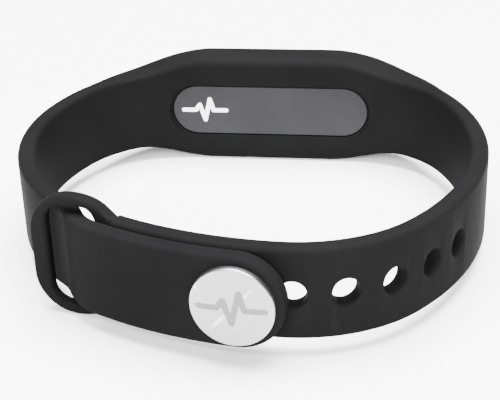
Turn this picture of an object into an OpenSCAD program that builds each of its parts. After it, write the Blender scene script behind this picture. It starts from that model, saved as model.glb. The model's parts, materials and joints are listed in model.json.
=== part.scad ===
// Fitness tracker band: a silicone wristband with a keeper ring and a snap stud,
// and a removable tracker pod in its rear cradle.
// Millimetres. +Z runs along the wrist, the pod is at +Y and the stud at -Y.
// The origin is at the middle of the bounding box, on the plane that the band stands on.

/* [Strap] */
// Height of the strap, measured along the wrist
strap_w = 13; // [11:0.5:16]
// Thickness of the strap
strap_t = 2.7; // [2.2:0.1:3.2]
// Rounding of the strap's long edges
strap_edge_r = 0.8; // [0.4:0.1:1]
// Gap between the two straps where one lies on the other
layer_gap = 0.4; // [0.2:0.1:0.8]

/* [Band shape] */
// Half length of the straight stretch behind the pod
rear_flat = 12; // [10:0.5:15]
// Length of the gentle bend on each side of the straight stretch
shoulder_len = 8; // [6:0.5:10]
// Radius of that gentle bend
shoulder_r = 22; // [18:1:28]
// Length of each rear corner
corner_len = 12; // [9:0.5:15]
// Radius of each rear corner
corner_r = 16; // [13:0.5:20]
// Length of the side of the strap with the holes
side_len = 44; // [36:0.5:52]
// Radius of that side
side_r = 39; // [34:1:48]
// Length of the front corner
turn_len = 18; // [15:0.5:21]
// Radius of the front corner
turn_r = 19; // [16:0.5:23]
// Length of the front stretch, up to the keeper ring
front_len = 22; // [19:0.5:25]
// Radius of the front stretch
front_r = 52; // [44:1:62]

/* [Holes and stud] */
// Diameter of each adjustment hole
hole_d = 3.7; // [3.2:0.1:4.6]
// Distance between the holes
hole_pitch = 6.1; // [5.5:0.1:7]
// Number of holes
hole_count = 8; // [5:1:9]
// Distance from the last hole to the keeper ring
last_hole = 5.4; // [4:0.1:8]
// Which hole the stud sits in, counted from the keeper ring
used_hole = 3; // [3:1:4]
// Diameter of the small vent hole in the strap with the stud
vent_d = 4; // [2:0.1:4.5]
// Distance from the rear corner to the vent hole
vent_at = 23; // [15:0.5:26]
// Diameter of the stud's cap
cap_d = 10.9; // [9:0.1:12]
// Height of the stud's cap above the strap
cap_h = 1.2; // [0.9:0.1:1.6]
// Radius of the cap's domed face
cap_dome_r = 48; // [30:1:90]
// Chamfer round the cap's face
cap_chamfer = 0.4; // [0.2:0.05:0.5]
// Diameter of the post where it passes through the strap tip
post_neck_d = 2.2; // [1.8:0.1:2.4]
// Diameter of the post between the tip and its bulb
post_d = 2.8; // [2.5:0.1:3.1]
// Clearance round the post's bulb in a hole
bulb_clear = 0.15; // [0.1:0.01:0.3]
// Length of the bulb
bulb_len = 1.5; // [1:0.1:2]
// How far the bulb stands out on the wrist side
bulb_out = 0.4; // [0:0.1:0.8]
// Diameter of the washer that holds the post in the tip
washer_d = 7; // [5.5:0.1:8]
// Thickness of that washer
washer_t = 0.6; // [0.4:0.05:0.8]

/* [Keeper ring] */
// Height of the keeper ring, the same as the cradle's so that the band stands level
ring_h = 18; // [16:0.5:22]
// Length of the neck over which the strap joins the ring
ring_neck = 1.5; // [1:0.1:2.5]
// Length of the keeper ring past its neck
ring_len = 11.6; // [10.5:0.1:14]
// Length over which the ring grows from the strap's height to its own
ring_rise = 4; // [3:0.1:5]
// Thickness of the keeper ring
ring_t = 2.1; // [1.6:0.1:2.6]
// Width of the bar at the ring's far end
ring_bar = 2.4; // [1.8:0.1:3]
// Clearance above and below the strap inside the ring
ring_clear = 0.9; // [0.5:0.1:1.4]
// Radius of the ring's outer corners
ring_corner_r = 6; // [4:0.5:7]
// Radius of the corners of the ring's opening
ring_inner_r = 1.5; // [0.5:0.1:2]
// Length of solid strap before the ring's opening
ring_root = 1.6; // [1:0.1:2]
// Length over which the ring leans out from the strap
ring_lean_len = 3; // [2:0.5:4]
// Angle by which the ring leans out
ring_lean = 18; // [10:1:22]
// Gap between the ring's bar and the strap that passes under it
under_gap = 0.4; // [0.3:0.1:0.8]
// Angle at which the strap passes under the bar
under_angle = 32; // [26:1:38]

/* [Strap tip] */
// Distance from the stud to the middle of the stretch that flexes
flex_at = 13.6; // [12:0.1:16]
// Length of the stretch that flexes
flex_len = 5; // [4:0.5:6]

/* [Cradle] */
// Height of the cradle
cradle_h = 18; // [16:0.5:22]
// Thickness of the cradle at its middle
cradle_t = 8.6; // [8:0.1:10]
// Rounding of the cradle's wrist-side edges
cradle_in_r = 1.3; // [0.8:0.1:2]
// Rounding of the cradle's outer edges
cradle_out_r = 2.6; // [1.5:0.1:3.2]
// Middle of the taper in height, measured from the pod's middle
taper_h_at = 16.7; // [15:0.1:20]
// Length of the taper in height
taper_h_len = 12.5; // [9:0.5:15]
// Middle of the taper in thickness, measured from the pod's middle
taper_t_at = 22.8; // [21:0.1:25]
// Length of the taper in thickness
taper_t_len = 15.5; // [12:0.5:18]
// Thickness of silicone between the wrist and the pod's flange
ledge_t = 1.5; // [1.2:0.1:2]

/* [Pod] */
// Length of the pod
pod_l = 35; // [33.5:0.1:37]
// Height of the pod
pod_h = 14; // [13:0.1:15]
// Clearance between the pod and the cradle
pod_clear = 0.1; // [0.05:0.01:0.2]
// Length of the plate that shows on the wrist side
plate_l = 33.2; // [31:0.1:34]
// Height of that plate
plate_h = 8.5; // [7.5:0.1:10]
// Clearance round the plate
plate_clear = 0.15; // [0.1:0.01:0.3]
// How far the plate's face lies inside the cradle's wrist-side face
plate_recess = 0.1; // [0:0.05:0.4]
// Wall of the two housings
pod_wall = 0.9; // [0.7:0.1:1.2]
// Chamfer round the pod's outer face
pod_chamfer = 1.2; // [0.8:0.1:1.5]
// Height of the lower housing's wall above the ledge
lower_h = 3.4; // [2.8:0.1:4]
// Thickness of the seal between the housings
seal_t = 0.4; // [0.3:0.05:0.6]
// Length of the metal cover
cover_l = 28; // [24:0.5:30]
// Height of the metal cover
cover_h = 8; // [6:0.5:9]
// Thickness of the metal cover
cover_t = 0.5; // [0.3:0.05:0.6]
// How far the metal cover stands out of the upper housing
cover_out = 0.1; // [0:0.05:0.2]

/* [Electronics] */
// Clearance between the pod's inner pieces
inner_clear = 0.1; // [0.05:0.01:0.2]
// Thickness of the circuit board
board_t = 0.6; // [0.4:0.1:0.8]
// Room between the board and the upper housing's ceiling
board_room = 1.15; // [1.05:0.05:1.4]
// Height of the carrier under the board
carrier_h = 2.6; // [2:0.1:3]
// Length of the cell
cell_l = 20.6; // [18:0.1:21]
// Width of the cell
cell_w = 9.8; // [8:0.1:10]
// Thickness of the cell
cell_t = 3; // [2.5:0.1:3.2]
// Thickness of the foam pad under the cell
pad_t = 0.3; // [0.2:0.05:0.5]
// Middle of the cell along the pod
cell_at = 2.8; // [2.4:0.1:3.2]
// Diameter of the coin motor
motor_d = 8; // [7:0.1:8.2]
// Middle of the coin motor along the pod
motor_at = -12; // [-12.2:0.1:-11.8]
// Diameter of the motor's shaft
motor_shaft_d = 0.7; // [0.5:0.05:0.9]
// Clearance between the shaft and the weight's bore
motor_fit = 0.03; // [0.01:0.01:0.05]
// Sheet thickness of the motor's case and base
motor_sheet = 0.25; // [0.2:0.05:0.3]
// Height of the motor's case
motor_h = 2.2; // [2:0.1:2.4]
// Thickness of the motor's weight
weight_t = 1; // [0.8:0.1:1.2]
// Diameter of each light guide
guide_d = 1.2; // [0.8:0.1:1.5]
// Distance between the light guides
guide_pitch = 4; // [3:0.5:6]
// Diameter of each charging contact
contact_d = 1.4; // [1:0.1:1.8]
// Distance between the charging contacts
contact_pitch = 3.2; // [2.5:0.1:4]

/* [Hidden] */
$fn = 64;
eps = 0.01;
seam_lap = 0.02;
can_sheet = 0.15;
led_h = 0.5;
cell_corner_r = 1;
tab_t = 0.15;
tab_w = 2;
tab_pitch = 4.4;
tail_t = 0.12;
tail_w = 2;
motor_pad_t = 0.2;
spring_t = 0.15;
spring_w = 1;

// ---- Walking along the band -------------------------------------------------------------
// A pose is [x, y, heading]; the wrist is on its right and the outside on its left.
// A stretch is [length, turn in degrees], and a right turn is negative.

function bend(length, radius) = [length, -length / radius * 180 / PI];
function step(p, length, turn) =
    turn == 0 ? [p.x + length * cos(p.z), p.y + length * sin(p.z), p.z]
    : let (r = length / turn * 180 / PI)
      [p.x + r * (sin(p.z + turn) - sin(p.z)), p.y - r * (cos(p.z + turn) - cos(p.z)), p.z + turn];
function walk(p, run, s, i = 0) =
    i == len(run) ? step(p, s, 0)
    : s <= run[i][0] ? step(p, s, run[i][1] * s / run[i][0])
    : walk(step(p, run[i][0], run[i][1]), run, s - run[i][0], i + 1);
function run_length(run, i = 0) = i == len(run) ? 0 : run[i][0] + run_length(run, i + 1);
function pose_at(p, run, i) = i == 0 ? p : step(pose_at(p, run, i - 1), run[i - 1][0], run[i - 1][1]);
function outward(p, d) = [p.x + d * cos(p.z + 90), p.y + d * sin(p.z + 90), p.z];
function wrapped(a) = a - 360 * floor((a + 180) / 360);

// Two arcs that join pose a to pose b smoothly, as a run of two stretches
function tangent_arm(a, b) =
    let (ta = [cos(a.z), sin(a.z)], tb = [cos(b.z), sin(b.z)], v = [b.x - a.x, b.y - a.y],
         qa = 2 * (ta * tb) - 2, qb = -2 * (v * (ta + tb)), qc = v * v)
    (-qb - sqrt(qb * qb - 4 * qa * qc)) / (2 * qa);
function arc_from(p, q, h) =
    let (dx = q.x - p.x, dy = q.y - p.y, turn = 2 * wrapped(atan2(dy, dx) - h), c = norm([dx, dy]))
    [abs(turn) < 0.001 ? c : c * (turn / 2 * PI / 180) / sin(turn / 2), turn];
function joined(a, b) =
    let (d = tangent_arm(a, b), p = step(a, d, 0), q = step(b, -d, 0),
         m = [(p.x + q.x) / 2, (p.y + q.y) / 2],
         first = arc_from(a, m, a.z), last = arc_from(m, b, a.z + first[1]))
    [first, last];

// ---- The band's course, with the cradle's wrist-side face starting at the raw origin -----
start = [0, 0, 0];
rear_run = [[rear_flat, 0], bend(shoulder_len, shoulder_r), bend(corner_len, corner_r)];
rear_len = run_length(rear_run);
rear_end = walk(start, rear_run, rear_len);
front_run = [bend(side_len, side_r), bend(turn_len, turn_r), bend(front_len, front_r)];
hole_run = concat(rear_run, front_run);
strap_end_s = run_length(hole_run);
strap_end = walk(start, hole_run, strap_end_s);
rear_left = [-rear_end.x, rear_end.y, -rear_end.z];

stud_s = strap_end_s - last_hole - (used_hole - 1) * hole_pitch;
stud_pose = outward(walk(start, hole_run, stud_s), strap_t + layer_gap);
flex_s = stud_s + flex_at;
tip_end_s = flex_s - flex_len / 2;
strap_start_s = flex_s + flex_len / 2;
over_r = front_r + strap_t + layer_gap;
function over_pose(s) = outward(walk(start, hole_run, s), strap_t + layer_gap);
function over_bend(from_s, to_s) = bend((to_s - from_s) * over_r / front_r, over_r);

ring_run = [bend(ring_neck, front_r), [ring_lean_len, ring_lean], [ring_len - ring_lean_len, 0]];
ring_flat = walk(strap_end, ring_run, ring_neck + ring_lean_len);
bar_pose = walk(strap_end, ring_run, ring_neck + ring_len - ring_bar);
ring_in = strap_t - ring_t;
under_pose = let (p = outward(bar_pose, ring_in))
    outward([p.x, p.y, p.z - under_angle], -under_gap - strap_t);
lift_s = strap_end_s + ring_neck;
over_end = step(over_pose(strap_start_s), over_bend(strap_start_s, lift_s)[0],
                over_bend(strap_start_s, lift_s)[1]);
stud_run = concat([over_bend(strap_start_s, lift_s)],
                  joined(over_end, under_pose), joined(under_pose, rear_left));
stud_run_len = run_length(stud_run);
stud_start = over_pose(strap_start_s);

// ---- Where the box that holds the band has its middle ------------------------------------
cap_edge_r = cap_dome_r * (1 - sqrt(1 - (cap_d - 2 * cap_chamfer) / cap_dome_r));
cap_edge_h = cap_h - cap_chamfer + cap_d / 2 - cap_edge_r;
cap_edge = outward(stud_pose, strap_t + cap_edge_h);
rear_y = cradle_t + cover_out;
front_y = cap_edge.y - abs(cos(cap_edge.z + 90)) * cap_edge_r;
right_x = max([for (s = [rear_len : 0.5 : strap_end_s]) outward(walk(start, hole_run, s), strap_t).x]);
left_x = min([for (s = [0 : 0.5 : stud_run_len]) outward(walk(stud_start, stud_run, s), strap_t).x]);
middle = [(right_x + left_x) / 2, (rear_y + front_y) / 2];
stand_h = max(ring_h, cradle_h) / 2;

// ---- The cradle's section along the band ---------------------------------------------------
function eased(x) = let (c = min(1, max(0, x))) c * c * (3 - 2 * c);
function cradle_share(s, at, length) = eased((at - abs(s)) / length + 0.5);
function section_h(s) = strap_w + (cradle_h - strap_w) * cradle_share(s, taper_h_at, taper_h_len);
function section_t(s) = strap_t + (cradle_t - strap_t) * cradle_share(s, taper_t_at, taper_t_len);
function section_in_r(s) =
    strap_edge_r + (cradle_in_r - strap_edge_r) * cradle_share(s, taper_h_at, taper_h_len);
function section_out_r(s) =
    strap_edge_r + (cradle_out_r - strap_edge_r) * cradle_share(s, taper_t_at, taper_t_len);
skin_step = 1;
corner_points = 5;

// Points [depth, height] round one section, anticlockwise when depth runs to the right
function rounded_section(t, h, in_r, out_r) =
    let (corners = [[out_r, t - out_r, h / 2 - out_r, 0], [in_r, in_r, h / 2 - in_r, 90],
                    [in_r, in_r, in_r - h / 2, 180], [out_r, t - out_r, out_r - h / 2, 270]])
    [for (c = corners) for (i = [0 : corner_points])
        let (a = c[3] + 90 * i / corner_points) [c[1] + c[0] * cos(a), c[2] + c[0] * sin(a)]];
// Pose on the rear of the band at distance s from its middle, on either side
function rear_pose(s) =
    s >= 0 ? walk(start, rear_run, s)
    : let (p = walk(start, rear_run, -s)) [-p.x, p.y, -p.z];
// Stands a section's points up at pose p
function stood(p, section) =
    [for (q = section) [p.x + q.x * cos(p.z + 90), p.y + q.x * sin(p.z + 90), q.y]];
function cradle_section(s) =
    rounded_section(section_t(s), section_h(s), section_in_r(s), section_out_r(s));
function strap_section() = rounded_section(strap_t, strap_w, strap_edge_r, strap_edge_r);

// ---- Shared shapes -------------------------------------------------------------------------
module placed() translate([-middle.x, -middle.y, stand_h]) children();
// Turns children so that +Z points outward from the band at pose p
module outward_at(p) translate([p.x, p.y, 0]) rotate([0, 0, p.z + 90]) rotate([0, 90, 0]) children();
// Depth through the pod runs along +Z, and its height along Y
module pod_frame() placed() rotate([-90, 0, 0]) children();

module rounded_rectangle(length, height, r) {
    translate([0, r - height / 2]) square([length, height - 2 * r]);
    translate([r, -height / 2]) square([length - 2 * r, height]);
    for (x = [r, length - r]) for (y = [r - height / 2, height / 2 - r])
        translate([x, y]) circle(r);
}
module pill(length, height) {
    square([length - height, height], center = true);
    for (side = [-1, 1]) translate([side * (length - height) / 2, 0]) circle(d = height);
}
// A pill with a hole of the same shape
module pill_ring(length, height, wall) {
    difference() {
        pill(length, height);
        pill(length - 2 * wall, height - 2 * wall);
    }
}
// One stretch of band: its 2D children have the wrist-side face on the Y axis
module stretch(p, length, turn) {
    if (turn == 0) {
        translate([p.x, p.y, 0]) rotate([0, 0, p.z + 90]) rotate([90, 0, 0])
            linear_extrude(length) children();
    } else if (turn < 0) {
        r = -length / turn * 180 / PI;
        c = outward(p, -r);
        translate([c.x, c.y, 0]) rotate([0, 0, p.z + 90 + turn])
            rotate_extrude(angle = -turn, $fn = 180) translate([r, 0]) children();
    } else {
        r = length / turn * 180 / PI;
        c = outward(p, r);
        translate([c.x, c.y, 0]) rotate([0, 0, p.z - 90])
            rotate_extrude(angle = turn, $fn = 180) translate([r, 0]) mirror([1, 0]) children();
    }
}
// A run of stretches, each reaching back over the one before it by lap
module band_run(p, run, lap = 0) {
    for (i = [0 : len(run) - 1]) {
        back = i == 0 ? 0 : lap;
        share = back / run[i][0];
        stretch(step(pose_at(p, run, i), -back, -run[i][1] * share),
                run[i][0] + back, run[i][1] * (1 + share)) children();
    }
}
module strap_profile() rounded_rectangle(strap_t, strap_w, strap_edge_r);

// ---- Band ------------------------------------------------------------------------------------
// A closed skin over rings that all have the same number of points
module skin(rings) {
    n = len(rings[0]);
    last = len(rings) - 1;
    polyhedron(
        points = [for (ring = rings) for (q = ring) q],
        faces = concat(
            [[for (j = [0 : n - 1]) j]],
            [for (i = [0 : last - 1]) for (j = [0 : n - 1])
                let (k = (j + 1) % n) [i * n + j, (i + 1) * n + j, (i + 1) * n + k, i * n + k]],
            [[for (j = [n - 1 : -1 : 0]) last * n + j]]));
}
module strap_cradle() color([0.13, 0.13, 0.13]) placed() {
    count = ceil(2 * rear_len / skin_step);
    difference() {
        skin([for (i = [0 : count])
            let (s = rear_len * (2 * i / count - 1)) stood(rear_pose(s), cradle_section(s))]);
        rotate([-90, 0, 0]) {
            translate([0, 0, ledge_t]) linear_extrude(cradle_t)
                pill(pod_l + 2 * pod_clear, pod_h + 2 * pod_clear);
            translate([0, 0, -ledge_t]) linear_extrude(3 * ledge_t)
                pill(plate_l + 2 * plate_clear, plate_h + 2 * plate_clear);
        }
    }
}
module hole_strap() color([0.13, 0.13, 0.13]) placed() difference() {
    band_run(rear_end, front_run, seam_lap) strap_profile();
    for (i = [0 : hole_count - 1])
        outward_at(walk(start, hole_run, strap_end_s - last_hole - i * hole_pitch))
            translate([0, 0, -strap_t]) cylinder(h = 3 * strap_t, d = hole_d);
}
// The loop's outline, with its length along X: it grows from the strap's height to its own
module ring_outline() {
    full = ring_neck + ring_len;
    intersection() {
        polygon([[0, -strap_w / 2], [ring_rise, -ring_h / 2], [full, -ring_h / 2],
                 [full, ring_h / 2], [ring_rise, ring_h / 2], [0, strap_w / 2]]);
        translate([-full, 0]) rounded_rectangle(2 * full, ring_h, ring_corner_r);
    }
}
module ring_opening() {
    near = ring_neck + ring_root;
    far = ring_neck + ring_len - ring_bar;
    half = strap_w / 2 + ring_clear;
    intersection() {
        translate([near, -half]) square([far - near, 2 * half]);
        translate([-far, 0]) rounded_rectangle(2 * far, 2 * half, ring_inner_r);
    }
}
// Stands its 2D children on the ring's flat stretch, from inside the wrist space to outside it
module through_ring() outward_at(step(ring_flat, -ring_neck - ring_lean_len, 0))
    rotate([0, 0, -90]) translate([0, 0, -ring_len]) linear_extrude(2 * ring_len) children();
module keeper_ring() color([0.14, 0.14, 0.14]) placed() difference() {
    intersection() {
        band_run(strap_end, ring_run, seam_lap)
            translate([ring_in, -ring_h / 2]) square([ring_t, ring_h]);
        through_ring() ring_outline();
    }
    through_ring() ring_opening();
}
module stud_strap() color([0.13, 0.13, 0.13]) placed() difference() {
    count = ceil(stud_run_len / skin_step);
    skin([for (i = [0 : count])
        stood(walk(stud_start, stud_run, stud_run_len * i / count), strap_section())]);
    outward_at(walk(stud_start, stud_run, stud_run_len - vent_at))
        translate([0, 0, -strap_t]) cylinder(h = 3 * strap_t, d = vent_d);
}
module strap_flex() color([0.16, 0.16, 0.16]) placed()
    band_run(over_pose(tip_end_s), [over_bend(tip_end_s, strap_start_s)]) strap_profile();
module strap_tip() color([0.13, 0.13, 0.13]) placed() difference() {
    union() {
        band_run(stud_pose, [over_bend(stud_s, tip_end_s)]) strap_profile();
        outward_at(stud_pose) rotate_extrude(angle = 180) intersection() {
            square([strap_w, strap_t]);
            translate([-strap_w / 2, strap_t / 2]) rounded_rectangle(strap_w, strap_t, strap_edge_r);
        }
    }
    outward_at(stud_pose) {
        translate([0, 0, -eps]) cylinder(h = washer_t + eps, d = washer_d);
        cylinder(h = strap_t + eps, d = post_neck_d);
    }
}

// ---- Stud --------------------------------------------------------------------------------------
module stud_cap() color([0.8, 0.8, 0.81]) placed() outward_at(outward(stud_pose, strap_t))
    intersection() {
        union() {
            cylinder(h = cap_h - cap_chamfer, d = cap_d);
            translate([0, 0, cap_h - cap_chamfer])
                cylinder(h = cap_chamfer, d1 = cap_d, d2 = cap_d - 2 * cap_chamfer);
        }
        translate([0, 0, cap_h - cap_dome_r]) sphere(r = cap_dome_r, $fn = 180);
    }
module stud_post() color([0.7, 0.7, 0.72]) placed() outward_at(stud_pose) {
    bulb_d = hole_d - 2 * bulb_clear;
    bulb_end = layer_gap + strap_t + bulb_out;
    cylinder(h = strap_t, d = post_neck_d);
    translate([0, 0, bulb_len - bulb_end]) cylinder(h = bulb_end - bulb_len, d = post_d);
    translate([0, 0, bulb_out - bulb_end]) cylinder(h = bulb_len - bulb_out, d = bulb_d);
    translate([0, 0, -bulb_end]) cylinder(h = bulb_out, d1 = bulb_d - 2 * bulb_out, d2 = bulb_d);
}
module stud_washer() color([0.6, 0.6, 0.62]) placed() outward_at(stud_pose) difference() {
    cylinder(h = washer_t, d = washer_d);
    translate([0, 0, -eps]) cylinder(h = washer_t + 2 * eps, d = post_neck_d);
}

// ---- Pod housing -------------------------------------------------------------------------------
floor_v = ledge_t + pod_wall;
lower_top_v = ledge_t + lower_h;
upper_v = lower_top_v + seal_t;
ceiling_v = cradle_t - pod_wall;
board_top_v = ceiling_v - board_room;
board_v = board_top_v - board_t;
carrier_v = board_v - carrier_h;
inner_l = pod_l - 2 * pod_wall;
inner_h = pod_h - 2 * pod_wall;
pod_end_x = (pod_l - pod_h) / 2;
contact_half = (contact_pitch + contact_d) / 2;
contact_in = pod_end_x + sqrt(pow(inner_h / 2, 2) - pow(contact_half, 2));
contact_out = pod_end_x + sqrt(pow(pod_h / 2, 2) - pow(contact_half, 2));
contact_v = floor_v + contact_d / 2 + inner_clear;
contact_spots = [-contact_pitch / 2, contact_pitch / 2];
guide_spots = [-guide_pitch, 0, guide_pitch];

module at_depth(v, h) translate([0, 0, v]) linear_extrude(h) children();
module guide_holes(v, h) for (x = guide_spots)
    translate([x, 0, v]) cylinder(h = h, d = guide_d + 2 * inner_clear);
module chamfered_pill(length, height, depth, chamfer) {
    side = [[0, 0], [height / 2, 0], [height / 2, depth - chamfer],
            [height / 2 - chamfer, depth], [0, depth]];
    for (x = [-1, 1]) translate([x * (length - height) / 2, 0, 0]) rotate_extrude() polygon(side);
    for (flip = [0, 1]) mirror([0, flip, 0])
        rotate([90, 0, 90]) translate([0, 0, -(length - height) / 2])
            linear_extrude(length - height) polygon(side);
}
module pod_lower_housing() color([0.42, 0.42, 0.43]) pod_frame() difference() {
    union() {
        at_depth(plate_recess, floor_v - plate_recess) pill(plate_l, plate_h);
        at_depth(ledge_t, lower_h) pill(pod_l, pod_h);
    }
    at_depth(floor_v, lower_h) pill(inner_l, inner_h);
    for (y = contact_spots) translate([contact_in - pod_wall, y, contact_v])
        rotate([0, 90, 0]) cylinder(h = 3 * pod_wall, d = contact_d);
}
module pod_upper_housing() color([0.1, 0.1, 0.1]) pod_frame() difference() {
    translate([0, 0, upper_v]) chamfered_pill(pod_l, pod_h, cradle_t - upper_v, pod_chamfer);
    at_depth(upper_v - eps, ceiling_v - upper_v + eps) pill(inner_l, inner_h);
    at_depth(cradle_t + cover_out - cover_t, cover_t) pill(cover_l, cover_h);
    guide_holes(ceiling_v - eps, pod_wall + 2 * eps);
}
module pod_top_cover() color([0.75, 0.76, 0.78]) pod_frame() difference() {
    at_depth(cradle_t + cover_out - cover_t, cover_t) pill(cover_l, cover_h);
    guide_holes(ceiling_v, cradle_t);
}
module housing_seal() color([0.25, 0.25, 0.27]) pod_frame()
    at_depth(lower_top_v, seal_t)
        pill_ring(pod_l - 2 * inner_clear, pod_h - 2 * inner_clear, pod_wall - inner_clear);

// ---- Board and what is on it ---------------------------------------------------------------------
module board_outline() pill(inner_l - 2 * inner_clear, inner_h - 2 * inner_clear);
// A block on the board's outer side, by its middle and size
module on_board(x, y, size) translate([x - size.x / 2, y - size.y / 2, board_top_v]) cube(size);
module board_carrier() color([0.3, 0.3, 0.33]) pod_frame() difference() {
    at_depth(carrier_v, carrier_h) board_outline();
    translate([0, 0, carrier_v - eps]) linear_extrude(carrier_h + 2 * eps) {
        cell_end = cell_at + cell_l / 2;
        translate([cell_at, 0]) square([cell_l, cell_w] + inner_clear * [2, 2], center = true);
        translate([motor_at, 0]) circle(d = motor_d + 2 * inner_clear);
        translate([motor_at, -tail_w]) square([cell_at - motor_at, 2 * tail_w]);
        tab_room = tab_pitch + tab_w + 2 * inner_clear;
        translate([cell_end - tab_w, -tab_room / 2]) square([tab_w + 4 * tab_t, tab_room]);
        translate([contact_in - 2 * spring_t, -contact_half - inner_clear])
            square([pod_wall + 2 * spring_t, 2 * (contact_half + inner_clear)]);
    }
}
module main_board() color([0.05, 0.3, 0.16]) pod_frame() at_depth(board_v, board_t) board_outline();
module bluetooth_chip() color([0.08, 0.08, 0.09]) pod_frame() on_board(9.2, 0, [5, 5, 0.8]);
module motion_sensor() color([0.15, 0.15, 0.16]) pod_frame() on_board(4.2, 3.6, [2, 2, 0.7]);
module charger_chip() color([0.08, 0.08, 0.09]) pod_frame() on_board(-3.5, 3.8, [3, 1.7, 0.9]);
module crystal() color([0.75, 0.76, 0.78]) pod_frame() on_board(9.2, 4.2, [2, 1.6, 0.6]);
module chip_antenna() color([0.88, 0.88, 0.84]) pod_frame() on_board(14.2, 0, [1.6, 5, 0.9]);
module shield_can() color([0.72, 0.73, 0.74]) pod_frame() difference() {
    can = [7, 7, 0.9];
    on_board(-11, 0, can);
    translate([0, 0, -eps]) on_board(-11, 0, can - can_sheet * [2, 2, 1] + [0, 0, eps]);
}
module capacitors() color([0.62, 0.5, 0.36]) pod_frame()
    for (i = [0 : 7]) on_board(-6 + 1.8 * i, -3.8, [1, 0.5, 0.5]);
module indicator_leds() color([0.9, 0.9, 0.86]) pod_frame()
    for (x = guide_spots) on_board(x, 0, [1.6, 0.8, led_h]);
module light_guides() color([0.92, 0.93, 0.95]) pod_frame() for (x = guide_spots)
    translate([x, 0, board_top_v + led_h])
        cylinder(h = cradle_t + cover_out - board_top_v - led_h, d = guide_d);

// ---- Battery and motor -------------------------------------------------------------------------
module battery_pad() color([0.2, 0.2, 0.2]) pod_frame()
    at_depth(floor_v, pad_t) translate([cell_at, 0]) square([cell_l - 2, cell_w - 2], center = true);
module battery_cell() color([0.72, 0.74, 0.77]) pod_frame()
    at_depth(floor_v + pad_t, cell_t) translate([cell_at - cell_l / 2, 0])
        rounded_rectangle(cell_l, cell_w, cell_corner_r);
module battery_tabs() color([0.8, 0.78, 0.7]) pod_frame() for (y = [-1, 1])
    translate([cell_at + cell_l / 2, y * tab_pitch / 2 - tab_w / 2, floor_v + pad_t + cell_t / 2])
        cube([tab_t, tab_w, board_v - floor_v - pad_t - cell_t / 2]);
motor_base_v = floor_v + motor_pad_t;
motor_in_v = motor_base_v + motor_sheet;
module on_motor(v) translate([motor_at, 0, v]) children();
module motor_pad() color([0.85, 0.85, 0.8]) pod_frame()
    on_motor(floor_v) cylinder(h = motor_pad_t, d = motor_d - 2);
module motor_base() color([0.7, 0.71, 0.72]) pod_frame()
    on_motor(motor_base_v) cylinder(h = motor_sheet, d = motor_d);
module motor_case() color([0.75, 0.76, 0.77]) pod_frame() on_motor(motor_in_v) difference() {
    cylinder(h = motor_h, d = motor_d);
    translate([0, 0, -eps]) cylinder(h = motor_h - motor_sheet + eps, d = motor_d - 2 * motor_sheet);
}
module motor_shaft() color([0.6, 0.6, 0.62]) pod_frame()
    on_motor(motor_in_v) cylinder(h = motor_h - motor_sheet, d = motor_shaft_d);
module motor_weight() color([0.55, 0.55, 0.5]) pod_frame()
    on_motor(motor_in_v + (motor_h - motor_sheet - weight_t) / 2) difference() {
        union() {
            rotate_extrude(angle = 180) square([motor_d / 2 - motor_sheet - 3 * inner_clear, weight_t]);
            cylinder(h = weight_t, d = 3 * motor_shaft_d);
        }
        translate([0, 0, -eps])
            cylinder(h = weight_t + 2 * eps, d = motor_shaft_d + 2 * motor_fit);
    }
module motor_tail() color([0.75, 0.5, 0.2]) pod_frame() {
    tail_x = motor_at + motor_d / 2 + inner_clear;
    translate([tail_x, -tail_w / 2, motor_base_v - tail_t])
        cube([tail_t, tail_w, board_v - motor_base_v + tail_t]);
    translate([tail_x - 1, -tail_w / 2, motor_base_v - tail_t]) cube([1, tail_w, tail_t]);
}

// ---- Charging contacts ---------------------------------------------------------------------------
module charging_contacts() color([0.85, 0.68, 0.3]) pod_frame() for (y = contact_spots)
    translate([contact_in, y, contact_v]) rotate([0, 90, 0])
        cylinder(h = contact_out - contact_in, d = contact_d);
module contact_springs() color([0.82, 0.66, 0.34]) pod_frame() for (y = contact_spots)
    translate([contact_in - spring_t, y - spring_w / 2, contact_v])
        cube([spring_t, spring_w, board_v - contact_v]);

strap_cradle();
hole_strap();
keeper_ring();
stud_strap();
strap_flex();
strap_tip();
stud_cap();
stud_post();
stud_washer();
pod_lower_housing();
pod_upper_housing();
pod_top_cover();
housing_seal();
board_carrier();
main_board();
bluetooth_chip();
motion_sensor();
charger_chip();
crystal();
chip_antenna();
shield_can();
capacitors();
indicator_leds();
light_guides();
battery_cell();
battery_tabs();
battery_pad();
motor_case();
motor_base();
motor_shaft();
motor_weight();
motor_pad();
motor_tail();
charging_contacts();
contact_springs();
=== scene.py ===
"""Looks of a fitness tracker band: silicone band, snap stud and tracker pod.

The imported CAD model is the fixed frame. The silicone, the stud and the pod's shell are modelled again here
with rounded edges and flared holes, and every CAD node that still shows gets a finish of its own.
Sizes are in metres, and the frame's axes are those of the CAD model: +Z along the wrist and +Y towards
the pod.
"""

import json
import logging
import math
from dataclasses import dataclass, field
from enum import Enum
from typing import Callable, Iterable, Optional, Sequence

import bmesh
import bpy
from mathutils import Matrix, Vector

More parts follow.
